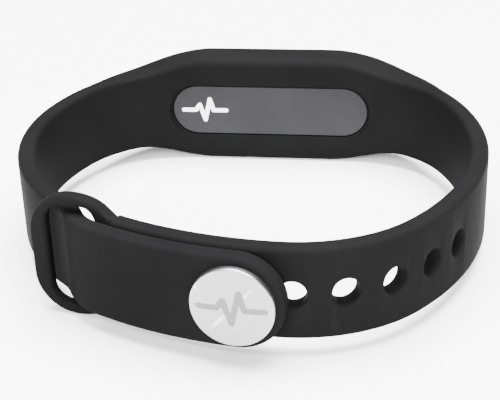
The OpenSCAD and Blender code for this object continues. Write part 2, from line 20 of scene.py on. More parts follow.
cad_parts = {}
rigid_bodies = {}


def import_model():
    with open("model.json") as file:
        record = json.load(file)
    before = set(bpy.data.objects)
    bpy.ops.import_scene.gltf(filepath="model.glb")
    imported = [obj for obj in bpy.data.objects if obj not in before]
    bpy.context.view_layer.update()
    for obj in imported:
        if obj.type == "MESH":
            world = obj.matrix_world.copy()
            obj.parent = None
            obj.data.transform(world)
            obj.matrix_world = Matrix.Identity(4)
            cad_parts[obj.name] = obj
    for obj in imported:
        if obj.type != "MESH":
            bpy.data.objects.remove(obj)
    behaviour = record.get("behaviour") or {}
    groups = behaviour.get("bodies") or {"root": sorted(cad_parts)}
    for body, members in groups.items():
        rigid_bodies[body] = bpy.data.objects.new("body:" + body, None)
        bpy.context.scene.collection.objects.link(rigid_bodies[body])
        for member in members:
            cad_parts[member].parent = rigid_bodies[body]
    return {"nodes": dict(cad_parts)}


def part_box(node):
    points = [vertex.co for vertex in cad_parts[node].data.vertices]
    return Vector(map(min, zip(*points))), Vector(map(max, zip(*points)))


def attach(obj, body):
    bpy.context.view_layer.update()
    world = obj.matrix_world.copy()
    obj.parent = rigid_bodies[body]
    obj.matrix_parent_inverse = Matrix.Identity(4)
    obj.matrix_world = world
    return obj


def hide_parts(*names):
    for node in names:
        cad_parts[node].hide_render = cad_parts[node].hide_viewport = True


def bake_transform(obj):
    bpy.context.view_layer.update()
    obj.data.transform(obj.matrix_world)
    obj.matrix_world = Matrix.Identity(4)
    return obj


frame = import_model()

logging.basicConfig(level=logging.INFO, format="%(name)s: %(message)s")
log = logging.getLogger("tracker_band")

MM = 0.001


# ---- Modelling bench -------------------------------------------------------------------------------


def clear_selection() -> None:
    """Leaves edit mode and deselects every object."""
    if bpy.context.mode != "OBJECT":
        bpy.ops.object.mode_set(mode="OBJECT")
    bpy.ops.object.select_all(action="DESELECT")


def pick(*objects: bpy.types.Object) -> None:
    """Selects only these objects and makes the first one active.

    Args:
        objects: The objects to select.
    """
    clear_selection()
    for piece in objects:
        piece.select_set(True)
    bpy.context.view_layer.objects.active = objects[0]


def edit(piece: bpy.types.Object) -> None:
    """Opens a piece in edit mode with nothing selected, picking vertices."""
    pick(piece)
    bpy.ops.object.mode_set(mode="EDIT")
    bpy.ops.mesh.select_mode(type="VERT")
    bpy.ops.mesh.select_all(action="DESELECT")


def select_vertices(piece: bpy.types.Object, wanted: Callable[[Vector], bool]) -> int:
    """Selects the vertices of the piece in edit mode whose place passes a test.

    Args:
        piece: The piece that is open in edit mode.
        wanted: Says of a place whether its vertex is wanted.

    Returns:
        How many vertices are selected.
    """
    mesh = bmesh.from_edit_mesh(piece.data)
    bpy.ops.mesh.select_all(action="DESELECT")
    for vertex in mesh.verts:
        vertex.select_set(wanted(vertex.co))
    mesh.select_flush(True)
    bmesh.update_edit_mesh(piece.data)
    return sum(vertex.select for vertex in mesh.verts)


def apply_modifier(piece: bpy.types.Object, kind: str, **settings: object) -> None:
    """Adds a modifier with its settings and applies it.

    Args:
        piece: The piece to change.
        kind: Blender's name of the modifier type.
        settings: Values for the modifier's properties.
    """
    pick(piece)
    bpy.ops.object.modifier_add(type=kind)
    modifier = piece.modifiers[-1]
    for name, value in settings.items():
        setattr(modifier, name, value)
    bpy.ops.object.modifier_apply(modifier=modifier.name)


def place(piece: bpy.types.Object, matrix: Matrix) -> None:
    """Moves a piece by a matrix and writes its place into its mesh.

    Args:
        piece: The piece to place.
        matrix: Where the piece's own axes go.
    """
    pick(piece)
    piece.matrix_world = matrix
    bpy.ops.object.transform_apply(location=True, rotation=True, scale=True)


def finish_mesh(piece: bpy.types.Object, angle: float = 40.0, outward: bool = True) -> None:
    """Merges doubles, points the faces outward and shades the piece smooth.

    Args:
        piece: The piece to finish.
        angle: Edges sharper than this angle in degrees stay crisp.
        outward: Whether the normals are worked out again.
    """
    edit(piece)
    bpy.ops.mesh.select_all(action="SELECT")
    bpy.ops.mesh.remove_doubles(threshold=0.002 * MM)
    if outward:
        bpy.ops.mesh.normals_make_consistent(inside=False)
    clear_selection()
    pick(piece)
    bpy.ops.object.shade_smooth_by_angle(angle=math.radians(angle))
    clear_selection()


def join(name: str, pieces: Sequence[bpy.types.Object]) -> bpy.types.Object:
    """Joins pieces into one under a new name.

    Args:
        name: The joined piece's name.
        pieces: The pieces to join.

    Returns:
        The joined piece.
    """
    pick(*pieces)
    if len(pieces) > 1:
        bpy.ops.object.join()
    joined = bpy.context.view_layer.objects.active
    joined.name = joined.data.name = name
    clear_selection()
    return joined


def cut(piece: bpy.types.Object, cutters: Sequence[bpy.types.Object]) -> None:
    """Cuts the cutters out of a piece and removes them.

    Args:
        piece: The piece to cut.
        cutters: Closed shapes in their places that don't overlap each other.
    """
    cutter = join("cutter", cutters)
    apply_modifier(piece, "BOOLEAN", operation="DIFFERENCE", solver="EXACT", object=cutter)
    bpy.data.objects.remove(cutter)


# ---- The band's course -----------------------------------------------------------------------------


@dataclass(frozen=True)
class Pose:
    """A point on the band's wrist-side face, seen along the wrist, and the way the band heads there.

    Attributes:
        x: Place across the band.
        y: Place from the stud towards the pod.
        heading: Direction in radians. The outside of the band is on its left.
    """

    x: float
    y: float
    heading: float

    def step(self, length: float, turn: float = 0.0) -> "Pose":
        """Follows an arc, or a line where there is no turn, and returns the pose at its end."""
        if abs(turn) < 1e-9:
            x = self.x + length * math.cos(self.heading)
            y = self.y + length * math.sin(self.heading)
            return Pose(x, y, self.heading)
        radius, after = length / turn, self.heading + turn
        return Pose(
            self.x + radius * (math.sin(after) - math.sin(self.heading)),
            self.y - radius * (math.cos(after) - math.cos(self.heading)),
            after,
        )

    def outward(self, distance: float) -> "Pose":
        """Returns the pose moved towards the outside of the band."""
        side = self.heading + math.pi / 2
        return Pose(self.x + distance * math.cos(side), self.y + distance * math.sin(side), self.heading)

    def mirrored(self, middle: float) -> "Pose":
        """Returns the pose on the other side of the band's middle, still heading the same way round."""
        return Pose(2 * middle - self.x, self.y, -self.heading)

    def matrix(self, height: float) -> Matrix:
        """Axes at this pose: local Z points outward, local X along the band and local Y down the wrist.

        Args:
            height: Place along the wrist.

        Returns:
            The matrix that takes local axes there.
        """
        outward = Vector((math.cos(self.heading + math.pi / 2), math.sin(self.heading + math.pi / 2), 0.0))
        along = Vector((math.cos(self.heading), math.sin(self.heading), 0.0))
        up = outward.cross(along)
        turned = Matrix((along, up, outward)).transposed().to_4x4()
        return Matrix.Translation((self.x, self.y, height)) @ turned


@dataclass(frozen=True)
class Stretch:
    """A stretch of band with one curvature.

    Attributes:
        length: Length along the wrist-side face.
        turn: How far it turns, in radians. A right turn is negative.
    """

    length: float
    turn: float

    @classmethod
    def bend(cls, length: float, radius: float) -> "Stretch":
        """Returns a right-hand bend of that length and radius."""
        return cls(length, -length / radius)


def wrapped(angle: float) -> float:
    """Returns an angle in radians brought to within half a turn of zero."""
    return (angle + math.pi) % (2 * math.pi) - math.pi


def arc_between(start: Pose, end: tuple[float, float]) -> Stretch:
    """Returns the arc that leaves a pose along its heading and reaches a point."""
    dx, dy = end[0] - start.x, end[1] - start.y
    turn = 2 * wrapped(math.atan2(dy, dx) - start.heading)
    chord = math.hypot(dx, dy)
    return Stretch(chord if abs(turn) < 1e-5 else chord * (turn / 2) / math.sin(turn / 2), turn)


def smooth_link(start: Pose, end: Pose) -> list[Stretch]:
    """Finds the two arcs that join one pose to another smoothly.

    Args:
        start: The pose to leave.
        end: The pose to reach.

    Returns:
        The two arcs in order.
    """
    first = Vector((math.cos(start.heading), math.sin(start.heading)))
    last = Vector((math.cos(end.heading), math.sin(end.heading)))
    gap = Vector((end.x - start.x, end.y - start.y))
    a, b, c = 2 * first.dot(last) - 2, -2 * gap.dot(first + last), gap.dot(gap)
    arm = (-b - math.sqrt(b * b - 4 * a * c)) / (2 * a)
    ahead, behind = start.step(arm), end.step(-arm)
    middle = ((ahead.x + behind.x) / 2, (ahead.y + behind.y) / 2)
    one = arc_between(start, middle)
    return [one, arc_between(start.step(one.length, one.turn), (end.x, end.y))]


@dataclass(frozen=True)
class Course:
    """A run of stretches from a start pose.

    Attributes:
        start: Where the run begins.
        stretches: The stretches in order.
    """

    start: Pose
    stretches: tuple[Stretch, ...]

    @property
    def length(self) -> float:
        """Length of the whole run."""
        return sum(stretch.length for stretch in self.stretches)

    def at(self, distance: float) -> Pose:
        """Returns the pose that far along the run."""
        pose = self.start
        for stretch in self.stretches:
            if distance <= stretch.length:
                return pose.step(distance, stretch.turn * distance / stretch.length)
            pose, distance = pose.step(stretch.length, stretch.turn), distance - stretch.length
        return pose.step(distance)

    def poses(self) -> list[Pose]:
        """Poses at the start of each stretch and at the end of the last."""
        found = [self.start]
        for stretch in self.stretches:
            found.append(found[-1].step(stretch.length, stretch.turn))
        return found


@dataclass(frozen=True)
class BandSizes:
    """Sizes of the silicone band and how its course runs, the same as the CAD model's."""

    width: float = 13 * MM
    thickness: float = 2.7 * MM
    edge_radius: float = 0.8 * MM
    layer_gap: float = 0.4 * MM
    rear: tuple[Stretch, ...] = (
        Stretch(12 * MM, 0.0),
        Stretch.bend(8 * MM, 22 * MM),
        Stretch.bend(12 * MM, 16 * MM),
    )
    front_radius: float = 52 * MM
    front: tuple[Stretch, ...] = (
        Stretch.bend(44 * MM, 39 * MM),
        Stretch.bend(18 * MM, 19 * MM),
        Stretch.bend(22 * MM, 52 * MM),
    )
    hole_diameter: float = 3.7 * MM
    hole_pitch: float = 6.1 * MM
    hole_count: int = 8
    last_hole: float = 5.4 * MM
    used_hole: int = 3
    vent_diameter: float = 4.0 * MM
    vent_at: float = 23 * MM
    hole_flare: float = 0.45 * MM
    cradle_height: float = 18 * MM
    cradle_thickness: float = 8.6 * MM
    cradle_inner_radius: float = 1.3 * MM
    cradle_outer_radius: float = 2.6 * MM
    taper_height: tuple[float, float] = (16.7 * MM, 12.5 * MM)
    taper_thickness: tuple[float, float] = (22.8 * MM, 15.5 * MM)
    ledge: float = 1.5 * MM
    ring_height: float = 18 * MM
    ring_neck: float = 1.5 * MM
    ring_length: float = 11.6 * MM
    ring_rise: float = 4 * MM
    ring_thickness: float = 2.1 * MM
    ring_bar: float = 2.4 * MM
    ring_clear: float = 0.9 * MM
    ring_corner: float = 6 * MM
    ring_inner_corner: float = 2.6 * MM
    ring_shoulder: float = 2.8 * MM
    ring_root: float = 1.6 * MM
    ring_edge: float = 0.65 * MM
    lean_length: float = 3 * MM
    lean: float = math.radians(18)
    under_gap: float = 0.4 * MM
    under_angle: float = math.radians(32)
    flex_at: float = 13.6 * MM
    flex_length: float = 5 * MM


@dataclass(frozen=True)
class BandLayout:
    """Where everything on the band lies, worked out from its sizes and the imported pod.

    Attributes:
        sizes: The band's sizes.
        origin: Middle of the cradle's wrist-side face.
    """

    sizes: BandSizes
    origin: Vector

    @property
    def height(self) -> float:
        """Place of the band's middle along the wrist."""
        return self.origin.z

    @property
    def start(self) -> Pose:
        """Pose at the middle of the cradle."""
        return Pose(self.origin.x, self.origin.y, 0.0)

    @property
    def right_side(self) -> Course:
        """From the cradle's middle round the side with the holes to the keeper ring."""
        return Course(self.start, self.sizes.rear + self.sizes.front)

    @property
    def rear(self) -> Course:
        """From the cradle's middle to its right-hand end."""
        return Course(self.start, self.sizes.rear)

    def rear_pose(self, distance: float) -> Pose:
        """Returns the pose that far from the cradle's middle, to the left where the distance is negative."""
        pose = self.rear.at(abs(distance))
        return pose if distance >= 0 else pose.mirrored(self.origin.x)

    @property
    def stud_distance(self) -> float:
        """How far along the right side the stud's hole lies."""
        sizes = self.sizes
        return self.right_side.length - sizes.last_hole - (sizes.used_hole - 1) * sizes.hole_pitch

    def hole_poses(self) -> list[Pose]:
        """Poses at the adjustment holes, counted from the keeper ring."""
        sizes, side = self.sizes, self.right_side
        first = side.length - sizes.last_hole
        return [side.at(first - k * sizes.hole_pitch) for k in range(sizes.hole_count)]

    def over_pose(self, distance: float) -> Pose:
        """Returns the wrist-side pose of the strap that lies on top, above that place on the lower strap."""
        return self.right_side.at(distance).outward(self.sizes.thickness + self.sizes.layer_gap)

    def over_bend(self, start: float, end: float) -> Stretch:
        """Returns the upper strap's stretch above one part of the lower strap."""
        radius = self.sizes.front_radius
        upper = radius + self.sizes.thickness + self.sizes.layer_gap
        return Stretch.bend((end - start) * upper / radius, upper)

    @property
    def strap_end(self) -> Pose:
        """Pose where the lower strap becomes the keeper ring."""
        return self.right_side.at(self.right_side.length)

    @property
    def ring(self) -> Course:
        """The keeper ring's course: its neck, its lean and its flat stretch."""
        sizes = self.sizes
        return Course(
            self.strap_end,
            (
                Stretch.bend(sizes.ring_neck, sizes.front_radius),
                Stretch(sizes.lean_length, sizes.lean),
                Stretch(sizes.ring_length - sizes.lean_length, 0.0),
            ),
        )

    @property
    def under_bar(self) -> Pose:
        """Pose of the upper strap where it passes under the ring's bar."""
        sizes = self.sizes
        bar = self.ring.at(self.ring.length - sizes.ring_bar).outward(sizes.thickness - sizes.ring_thickness)
        crossing = Pose(bar.x, bar.y, bar.heading - sizes.under_angle)
        return crossing.outward(-sizes.under_gap - sizes.thickness)

    @property
    def over_part(self) -> Course:
        """The upper strap from the stud, through the ring, to the place under its bar."""
        lift = self.right_side.length + self.sizes.ring_neck
        resting = self.over_bend(self.stud_distance, lift)
        end = self.over_pose(self.stud_distance).step(resting.length, resting.turn)
        return Course(
            self.over_pose(self.stud_distance), (resting, *smooth_link(end, self.under_bar))
        )

    @property
    def left_side(self) -> Course:
        """The upper strap from the place under the ring's bar to the cradle's left-hand end."""
        return Course(self.under_bar, tuple(smooth_link(self.under_bar, self.rear_pose(-self.rear.length))))


# ---- Silicone ---------------------------------------------------------------------------------------


@dataclass(frozen=True)
class Section:
    """A rounded section through the band.

    Attributes:
        thickness: Depth from the wrist side to the outside.
        height: Height along the wrist.
        inner_radius: Rounding on the wrist side.
        outer_radius: Rounding on the outside.
    """

    thickness: float
    height: float
    inner_radius: float
    outer_radius: float


@dataclass
class Sweeper:
    """Draws bands by adding rounded sections and sweeping them along a course.

    Attributes:
        height: Place of the band's middle along the wrist.
        corner_segments: Edges in each rounded corner.
        pace: Length of one step of a sweep.
    """

    height: float
    corner_segments: int = 7
    pace: float = 0.75 * MM

    def new_piece(self, name: str) -> bpy.types.Object:
        """Adds an empty piece and opens it in edit mode.

        Args:
            name: The piece's name.

        Returns:
            The piece, with no vertices yet.
        """
        clear_selection()
        bpy.ops.mesh.primitive_plane_add(size=MM)
        piece = bpy.context.object
        piece.name = piece.data.name = name
        bpy.ops.object.mode_set(mode="EDIT")
        bpy.ops.mesh.select_mode(type="VERT")
        bpy.ops.mesh.select_all(action="SELECT")
        bpy.ops.mesh.delete(type="VERT")
        return piece

    def add_loop(self, piece: bpy.types.Object, pose: Pose, section: Section) -> None:
        """Adds one rounded section at a pose as a loop of edges, and leaves it selected.

        Args:
            piece: The piece that is open in edit mode.
            pose: Where the section stands.
            section: Its sizes.
        """
        middle = pose.outward(section.thickness / 2)
        bpy.ops.mesh.select_all(action="DESELECT")
        bpy.ops.mesh.primitive_plane_add(
            size=1.0,
            location=(middle.x, middle.y, self.height),
            rotation=(math.pi / 2, 0.0, pose.heading + math.pi / 2),
        )
        mesh = bmesh.from_edit_mesh(piece.data)
        centre = Vector((middle.x, middle.y, self.height))
        side = Vector((math.cos(pose.heading + math.pi / 2), math.sin(pose.heading + math.pi / 2), 0.0))
        corners: dict[bool, list[Vector]] = {True: [], False: []}
        for vertex in (v for v in mesh.verts if v.select):
            is_outer = (vertex.co - centre).dot(side) > 0
            rise = math.copysign(section.height / 2, vertex.co.z - self.height)
            depth = math.copysign(section.thickness / 2, 1 if is_outer else -1)
            vertex.co = centre + side * depth + Vector((0, 0, rise))
            corners[is_outer].append(vertex.co.copy())
        bmesh.update_edit_mesh(piece.data)
        for is_outer, radius in ((True, section.outer_radius), (False, section.inner_radius)):
            spots = corners[is_outer]
            select_vertices(piece, lambda co: any((co - spot).length < 1e-7 for spot in spots))
            bpy.ops.mesh.bevel(
                offset=radius, segments=self.corner_segments, affect="VERTICES", clamp_overlap=False
            )
        bpy.ops.mesh.select_linked()
        bpy.ops.mesh.delete(type="ONLY_FACE")
        self.pick_end(piece, pose)

    def loft(self, piece: bpy.types.Object, stations: Sequence[tuple[Pose, Section]]) -> None:
        """Adds a loop at each station and bridges them all into one skin.

        Args:
            piece: The piece that is open in edit mode.
            stations: Poses and sections in order.
        """
        for pose, section in stations:
            self.add_loop(piece, pose, section)
        bpy.ops.mesh.select_all(action="SELECT")
        bpy.ops.mesh.bridge_edge_loops(type="SINGLE")

    def pick_end(self, piece: bpy.types.Object, pose: Pose) -> int:
        """Selects the open end that stands at a pose.

        Args:
            piece: The piece that is open in edit mode.
            pose: Where the end is.

        Returns:
            How many vertices are selected.
        """
        along = Vector((math.cos(pose.heading), math.sin(pose.heading), 0.0))
        at = Vector((pose.x, pose.y, self.height))
        reach = 14 * MM
        return select_vertices(
            piece, lambda co: abs((co - at).dot(along)) < 1e-6 and (co - at).length < reach
        )

    def sweep(self, course: Course, backwards: bool = False) -> None:
        """Sweeps the selected end along a course, and leaves the new end selected.

        Args:
            course: The course to follow from the selected end.
            backwards: Whether it is followed from its end to its start.
        """
        legs = list(zip(course.poses(), course.stretches))
        for pose, stretch in reversed(legs) if backwards else legs:
            steps = max(2, math.ceil(stretch.length / self.pace))
            # Spin turns the other way round its axis when there is no window.
            turn = stretch.turn if backwards else -stretch.turn
            if abs(stretch.turn) < 1e-6:
                pace = stretch.length / steps * (-1 if backwards else 1)
                move = (pace * math.cos(pose.heading), pace * math.sin(pose.heading), 0.0)
                for _ in range(steps):
                    bpy.ops.mesh.extrude_edges_move(TRANSFORM_OT_translate={"value": move})
                continue
            centre = pose.outward(stretch.length / stretch.turn)
            bpy.ops.mesh.spin(
                steps=steps, angle=turn, center=(centre.x, centre.y, self.height), axis=(0.0, 0.0, 1.0)
            )

    def cap(self) -> None:
        """Closes the selected open end with one face."""
        bpy.ops.mesh.edge_face_add()

    def round_end(self, piece: bpy.types.Object, pose: Pose, reach: float) -> None:
        """Closes the open end at a pose with a half-round end.

        Args:
            piece: The piece that is open in edit mode.
            pose: Where the end is. The round end lies ahead of it.
            reach: Half of the band's height.
        """
        bpy.ops.mesh.select_all(action="SELECT")
        bpy.ops.mesh.bisect(plane_co=(0.0, 0.0, self.height), plane_no=(0.0, 0.0, 1.0))
        along = Vector((math.cos(pose.heading), math.sin(pose.heading), 0.0))
        at = Vector((pose.x, pose.y, self.height))
        select_vertices(
            piece,
            lambda co: abs((co - at).dot(along)) < 1e-6
            and (co - at).length < 2 * reach
            and co.z > self.height - 1e-7,
        )
        side = pose.heading + math.pi / 2
        bpy.ops.mesh.spin(
            steps=40,
            angle=math.pi,
            center=(pose.x, pose.y, self.height),
            axis=(math.cos(side), math.sin(side), 0.0),
        )


# ---- Cutters and pill shapes -------------------------------------------------------------------------


@dataclass(frozen=True)
class Flare:
    """A rounded rim that a cutter leaves round a hole.

    Attributes:
        radius: Rounding of the rim.
        steps: Edges in the rounding.
        reach: How far the flare goes on past the surface, before the cutter's straight end.
    """

    radius: float
    steps: int = 5
    reach: float = 0.1 * MM

    def rings(self) -> list[tuple[float, float]]:
        """Rise and growth of each ring of the rim, from the straight wall up to past the surface."""
        sweep = math.radians(66)
        found, last = [], (0.0, 0.0)
        for k in range(1, self.steps + 1):
            angle = sweep * k / self.steps
            at = (self.radius * math.sin(angle), self.radius * (1 - math.cos(angle)))
            found.append((at[0] - last[0], at[1] - last[1]))
            last = at
        found.append((self.reach, self.reach * math.tan(sweep)))
        found.append((0.6 * MM, 0.0))
        return found


@dataclass(frozen=True)
class Plan:
    """Outline of a straight block with rounded ends or corners, seen along its depth.

    Attributes:
        length: Size along local X.
        height: Size along local Y.
        corner: Radius of the corners, half the height for a pill.
        segments: Edges in each corner.
    """

    length: float
    height: float
    corner: float
    segments: int = 20

    @classmethod
    def pill(cls, length: float, height: float) -> "Plan":
        """Returns a pill of that length and height."""
        return cls(length, height, height / 2)

    @classmethod
    def disc(cls, diameter: float) -> "Plan":
        """Returns a round plan of that diameter."""
        return cls(diameter, diameter, diameter / 2, 14)


@dataclass
class Block:
    """A block that rises from a plan along local Z, and can flare or step at either face.

    Attributes:
        name: The block's name.
        plan: Its outline.
        low: Where it starts.
        high: Where it ends.
    """

    name: str
    plan: Plan
    low: float
    high: float
    piece: Optional[bpy.types.Object] = field(default=None)

    def build(self) -> "Block":
        """Adds a plane, rounds its corners and raises it, and leaves it open in edit mode."""
        plan = self.plan
        clear_selection()
        bpy.ops.mesh.primitive_plane_add(size=1.0, location=(0.0, 0.0, 0.0))
        self.piece = bpy.context.object
        self.piece.name = self.piece.data.name = self.name
        self.piece.scale = (plan.length, plan.height, 1.0)
        self.piece.location = (0.0, 0.0, self.low)
        bpy.ops.object.transform_apply(location=True, rotation=True, scale=True)
        bpy.ops.object.mode_set(mode="EDIT")
        bpy.ops.mesh.select_mode(type="VERT")
        bpy.ops.mesh.select_all(action="SELECT")
        bpy.ops.mesh.bevel(
            offset=plan.corner - 1e-7, segments=plan.segments, affect="VERTICES", clamp_overlap=False
        )
        bpy.ops.mesh.select_all(action="SELECT")
        bpy.ops.mesh.remove_doubles(threshold=0.001 * MM)
        bpy.ops.mesh.select_all(action="SELECT")
        rise = {"value": (0.0, 0.0, self.high - self.low)}
        bpy.ops.mesh.extrude_region_move(TRANSFORM_OT_translate=rise)
        return self

    def grow(self, upper: bool, rings: Iterable[tuple[float, float]]) -> "Block":
        """Adds rings to the upper or the lower face.

        Args:
            upper: Whether the rings go on the upper face.
            rings: Rise and outward growth of each ring.

        Returns:
            This block.
        """
        way = 1.0 if upper else -1.0
        level = max if upper else min
        mesh = bmesh.from_edit_mesh(self.piece.data)
        end = level(vertex.co.z for vertex in mesh.verts)
        select_vertices(self.piece, lambda co: abs(co.z - end) < 1e-7)
        half_length, half_height = self.plan.length / 2, self.plan.height / 2
        for rise, growth in rings:
            bpy.ops.mesh.extrude_region_move(TRANSFORM_OT_translate={"value": (0.0, 0.0, way * rise)})
            scale = ((half_length + growth) / half_length, (half_height + growth) / half_height, 1.0)
            bpy.ops.transform.resize(value=scale, center_override=(0.0, 0.0, 0.0))
            half_length, half_height = half_length + growth, half_height + growth
        return self

    def done(self, matrix: Optional[Matrix] = None) -> bpy.types.Object:
        """Closes edit mode and places the block.

        Args:
            matrix: Where its own axes go.

        Returns:
            The placed piece.
        """
        finish_mesh(self.piece)
        place(self.piece, matrix or Matrix.Identity(4))
        return self.piece


# ---- The band's pieces -----------------------------------------------------------------------------


@dataclass
class SiliconeBand:
    """The band's cradle, straps and keeper ring, which lie still, and the strap that ends in the stud's tip.

    Attributes:
        layout: Where everything lies.
        pod_frame: Axes at the cradle, with depth along local Z.
    """

    layout: BandLayout
    pod_frame: Matrix
    pocket: tuple[float, float] = (35.2 * MM, 14.2 * MM)
    window: tuple[float, float] = (33.5 * MM, 8.8 * MM)

    def strap_section(self) -> Section:
        """Section of the plain strap."""
        sizes = self.layout.sizes
        return Section(sizes.thickness, sizes.width, sizes.edge_radius, sizes.edge_radius)

    def cradle_section(self, distance: float) -> Section:
        """Returns the cradle's section that far from its middle."""
        sizes = self.layout.sizes

        def share(taper: tuple[float, float]) -> float:
            """Returns how much of the cradle's full size holds there."""
            t = min(1.0, max(0.0, (taper[0] - abs(distance)) / taper[1] + 0.5))
            return t * t * (3 - 2 * t)

        tall, thick = share(sizes.taper_height), share(sizes.taper_thickness)

        def mixed(strap: float, cradle: float, amount: float) -> float:
            """Returns a size between the strap's and the cradle's."""
            return strap + (cradle - strap) * amount

        return Section(
            mixed(sizes.thickness, sizes.cradle_thickness, thick),
            mixed(sizes.width, sizes.cradle_height, tall),
            mixed(sizes.edge_radius, sizes.cradle_inner_radius, tall),
            mixed(sizes.edge_radius, sizes.cradle_outer_radius, thick),
        )

    def hole_cutter(self, pose: Pose, diameter: float) -> bpy.types.Object:
        """Makes a cutter for a round hole with flared rims through the strap at a pose."""
        sizes = self.layout.sizes
        flare = Flare(sizes.hole_flare)
        top = sizes.thickness - flare.radius
        block = Block("hole_cutter", Plan.disc(diameter), flare.radius, top).build()
        block.grow(True, flare.rings()).grow(False, flare.rings())
        return block.done(pose.matrix(self.layout.height))

    def pod_cutters(self) -> list[bpy.types.Object]:
        """Makes the cutters for the pod's pocket and for the window on the wrist side."""
        sizes = self.layout.sizes
        pocket_rim, window_rim = Flare(0.5 * MM), Flare(0.22 * MM)
        mouth = sizes.cradle_thickness - pocket_rim.radius
        pocket = Block("pocket_cutter", Plan.pill(*self.pocket), sizes.ledge, mouth).build()
        pocket.grow(True, pocket_rim.rings())
        top = sizes.ledge + 0.2 * MM
        window = Block("window_cutter", Plan.pill(*self.window), window_rim.radius, top).build()
        window.grow(False, window_rim.rings())
        return [pocket.done(self.pod_frame), window.done(self.pod_frame)]

    def build_rest(self) -> bpy.types.Object:
        """Models the cradle, the strap with the holes, the left side and the keeper ring as one skin."""
        layout, sizes = self.layout, self.layout.sizes
        sweeper = Sweeper(layout.height)
        skin = sweeper.new_piece("silicone_band")
        reach, count = layout.rear.length, 84
        spots = [reach * (2 * k / count - 1) for k in range(count + 1)]
        sweeper.loft(skin, [(layout.rear_pose(s), self.cradle_section(s)) for s in spots])
        sweeper.pick_end(skin, layout.rear_pose(reach))
        sweeper.sweep(Course(layout.rear_pose(reach), sizes.front))
        sweeper.cap()
        sweeper.pick_end(skin, layout.rear_pose(-reach))
        sweeper.sweep(layout.left_side, backwards=True)
        sweeper.cap()
        finish_mesh(skin)
        vent = layout.left_side.at(layout.left_side.length - sizes.vent_at)
        holes = [self.hole_cutter(pose, sizes.hole_diameter) for pose in layout.hole_poses()]
        cut(skin, holes + [self.hole_cutter(vent, sizes.vent_diameter)])
        pocket, window = self.pod_cutters()
        cut(skin, [pocket])
        cut(skin, [window])
        finish_mesh(skin, outward=False)
        return join("silicone_band", [skin, self.build_ring()])

    def round_face(self, ring: bpy.types.Object, upper: bool) -> None:
        """Rounds the ring's edge round its upper or lower face by insetting that face in steps.

        Args:
            ring: The ring, open in edit mode.
            upper: Whether it is the upper face.
        """
        radius, steps = self.layout.sizes.ring_edge, 5
        level = (max if upper else min)(vertex.co.z for vertex in bmesh.from_edit_mesh(ring.data).verts)
        select_vertices(ring, lambda co: abs(co.z - level) < 1e-7)
        last = (0.0, 0.0)
        for k in range(1, steps + 1):
            angle = math.pi / 2 * k / steps
            at = (radius * (1 - math.cos(angle)), radius * math.sin(angle))
            bpy.ops.mesh.inset(thickness=at[0] - last[0], depth=at[1] - last[1])
            last = at

    def build_ring(self) -> bpy.types.Object:
        """Models the keeper ring flat, bends its neck and stands it at the strap's end."""
        layout, sizes = self.layout, self.layout.sizes
        full, edge = sizes.ring_neck + sizes.ring_length, sizes.ring_edge
        base = sizes.thickness - sizes.ring_thickness
        clear_selection()
        bpy.ops.mesh.primitive_plane_add(size=1.0)
        ring = bpy.context.object
        ring.name = ring.data.name = "keeper_ring_skin"
        ring.scale = (full - sizes.ring_rise, sizes.ring_height, 1.0)
        ring.location = ((full + sizes.ring_rise) / 2, 0.0, base + edge)
        bpy.ops.object.transform_apply(location=True, rotation=True, scale=True)
        edit(ring)
        select_vertices(ring, lambda co: co.x > full - 1e-6)
        bpy.ops.mesh.bevel(offset=sizes.ring_corner, segments=14, affect="VERTICES", clamp_overlap=False)
        select_vertices(ring, lambda co: co.x < sizes.ring_rise + 1e-6)
        bpy.ops.mesh.extrude_edges_move(TRANSFORM_OT_translate={"value": (-sizes.ring_rise, 0.0, 0.0)})
        bpy.ops.transform.resize(
            value=(1.0, sizes.width / sizes.ring_height, 1.0), center_override=(0.0, 0.0, 0.0)
        )
        select_vertices(ring, lambda co: abs(co.x - sizes.ring_rise) < 1e-6)
        bpy.ops.mesh.select_mode(type="EDGE")
        bpy.ops.mesh.dissolve_edges(use_verts=False)
        bpy.ops.mesh.select_mode(type="VERT")
        select_vertices(ring, lambda co: abs(co.x - sizes.ring_rise) < 1e-6)
        bpy.ops.mesh.bevel(offset=sizes.ring_shoulder, segments=8, affect="VERTICES", clamp_overlap=False)
        bpy.ops.mesh.select_all(action="SELECT")
        rise = {"value": (0.0, 0.0, sizes.ring_thickness - 2 * edge)}
        bpy.ops.mesh.extrude_region_move(TRANSFORM_OT_translate=rise)
        bpy.ops.mesh.select_all(action="SELECT")
        bpy.ops.mesh.normals_make_consistent(inside=False)
        self.round_face(ring, True)
        self.round_face(ring, False)
        finish_mesh(ring)
        near, far = sizes.ring_neck + sizes.ring_root, full - sizes.ring_bar
        plan = Plan(far - near, sizes.width + 2 * sizes.ring_clear, sizes.ring_inner_corner, 10)
        rim = Flare(edge)
        opening = Block("ring_cutter", plan, base + edge, sizes.thickness - edge).build()
        opening.grow(True, rim.rings()).grow(False, rim.rings())
        cut(ring, [opening.done(Matrix.Translation(((near + far) / 2, 0.0, 0.0)))])
        self.bend_neck(ring)
        finish_mesh(ring, outward=False)
        place(ring, layout.strap_end.matrix(layout.height))
        return ring

    def bend_neck(self, ring: bpy.types.Object) -> None:
        """Bends the flat ring outward at its neck, a little at each of several folds."""
        sizes = self.layout.sizes
        folds = 8
        edit(ring)
        spots = [sizes.ring_neck + sizes.lean_length * (k + 0.5) / folds for k in range(folds)]
        for spot in spots:
            bpy.ops.mesh.select_all(action="SELECT")
            bpy.ops.mesh.bisect(plane_co=(spot, 0.0, 0.0), plane_no=(1.0, 0.0, 0.0))
        for spot in reversed(spots):
            select_vertices(ring, lambda co: co.x > spot + 1e-6)
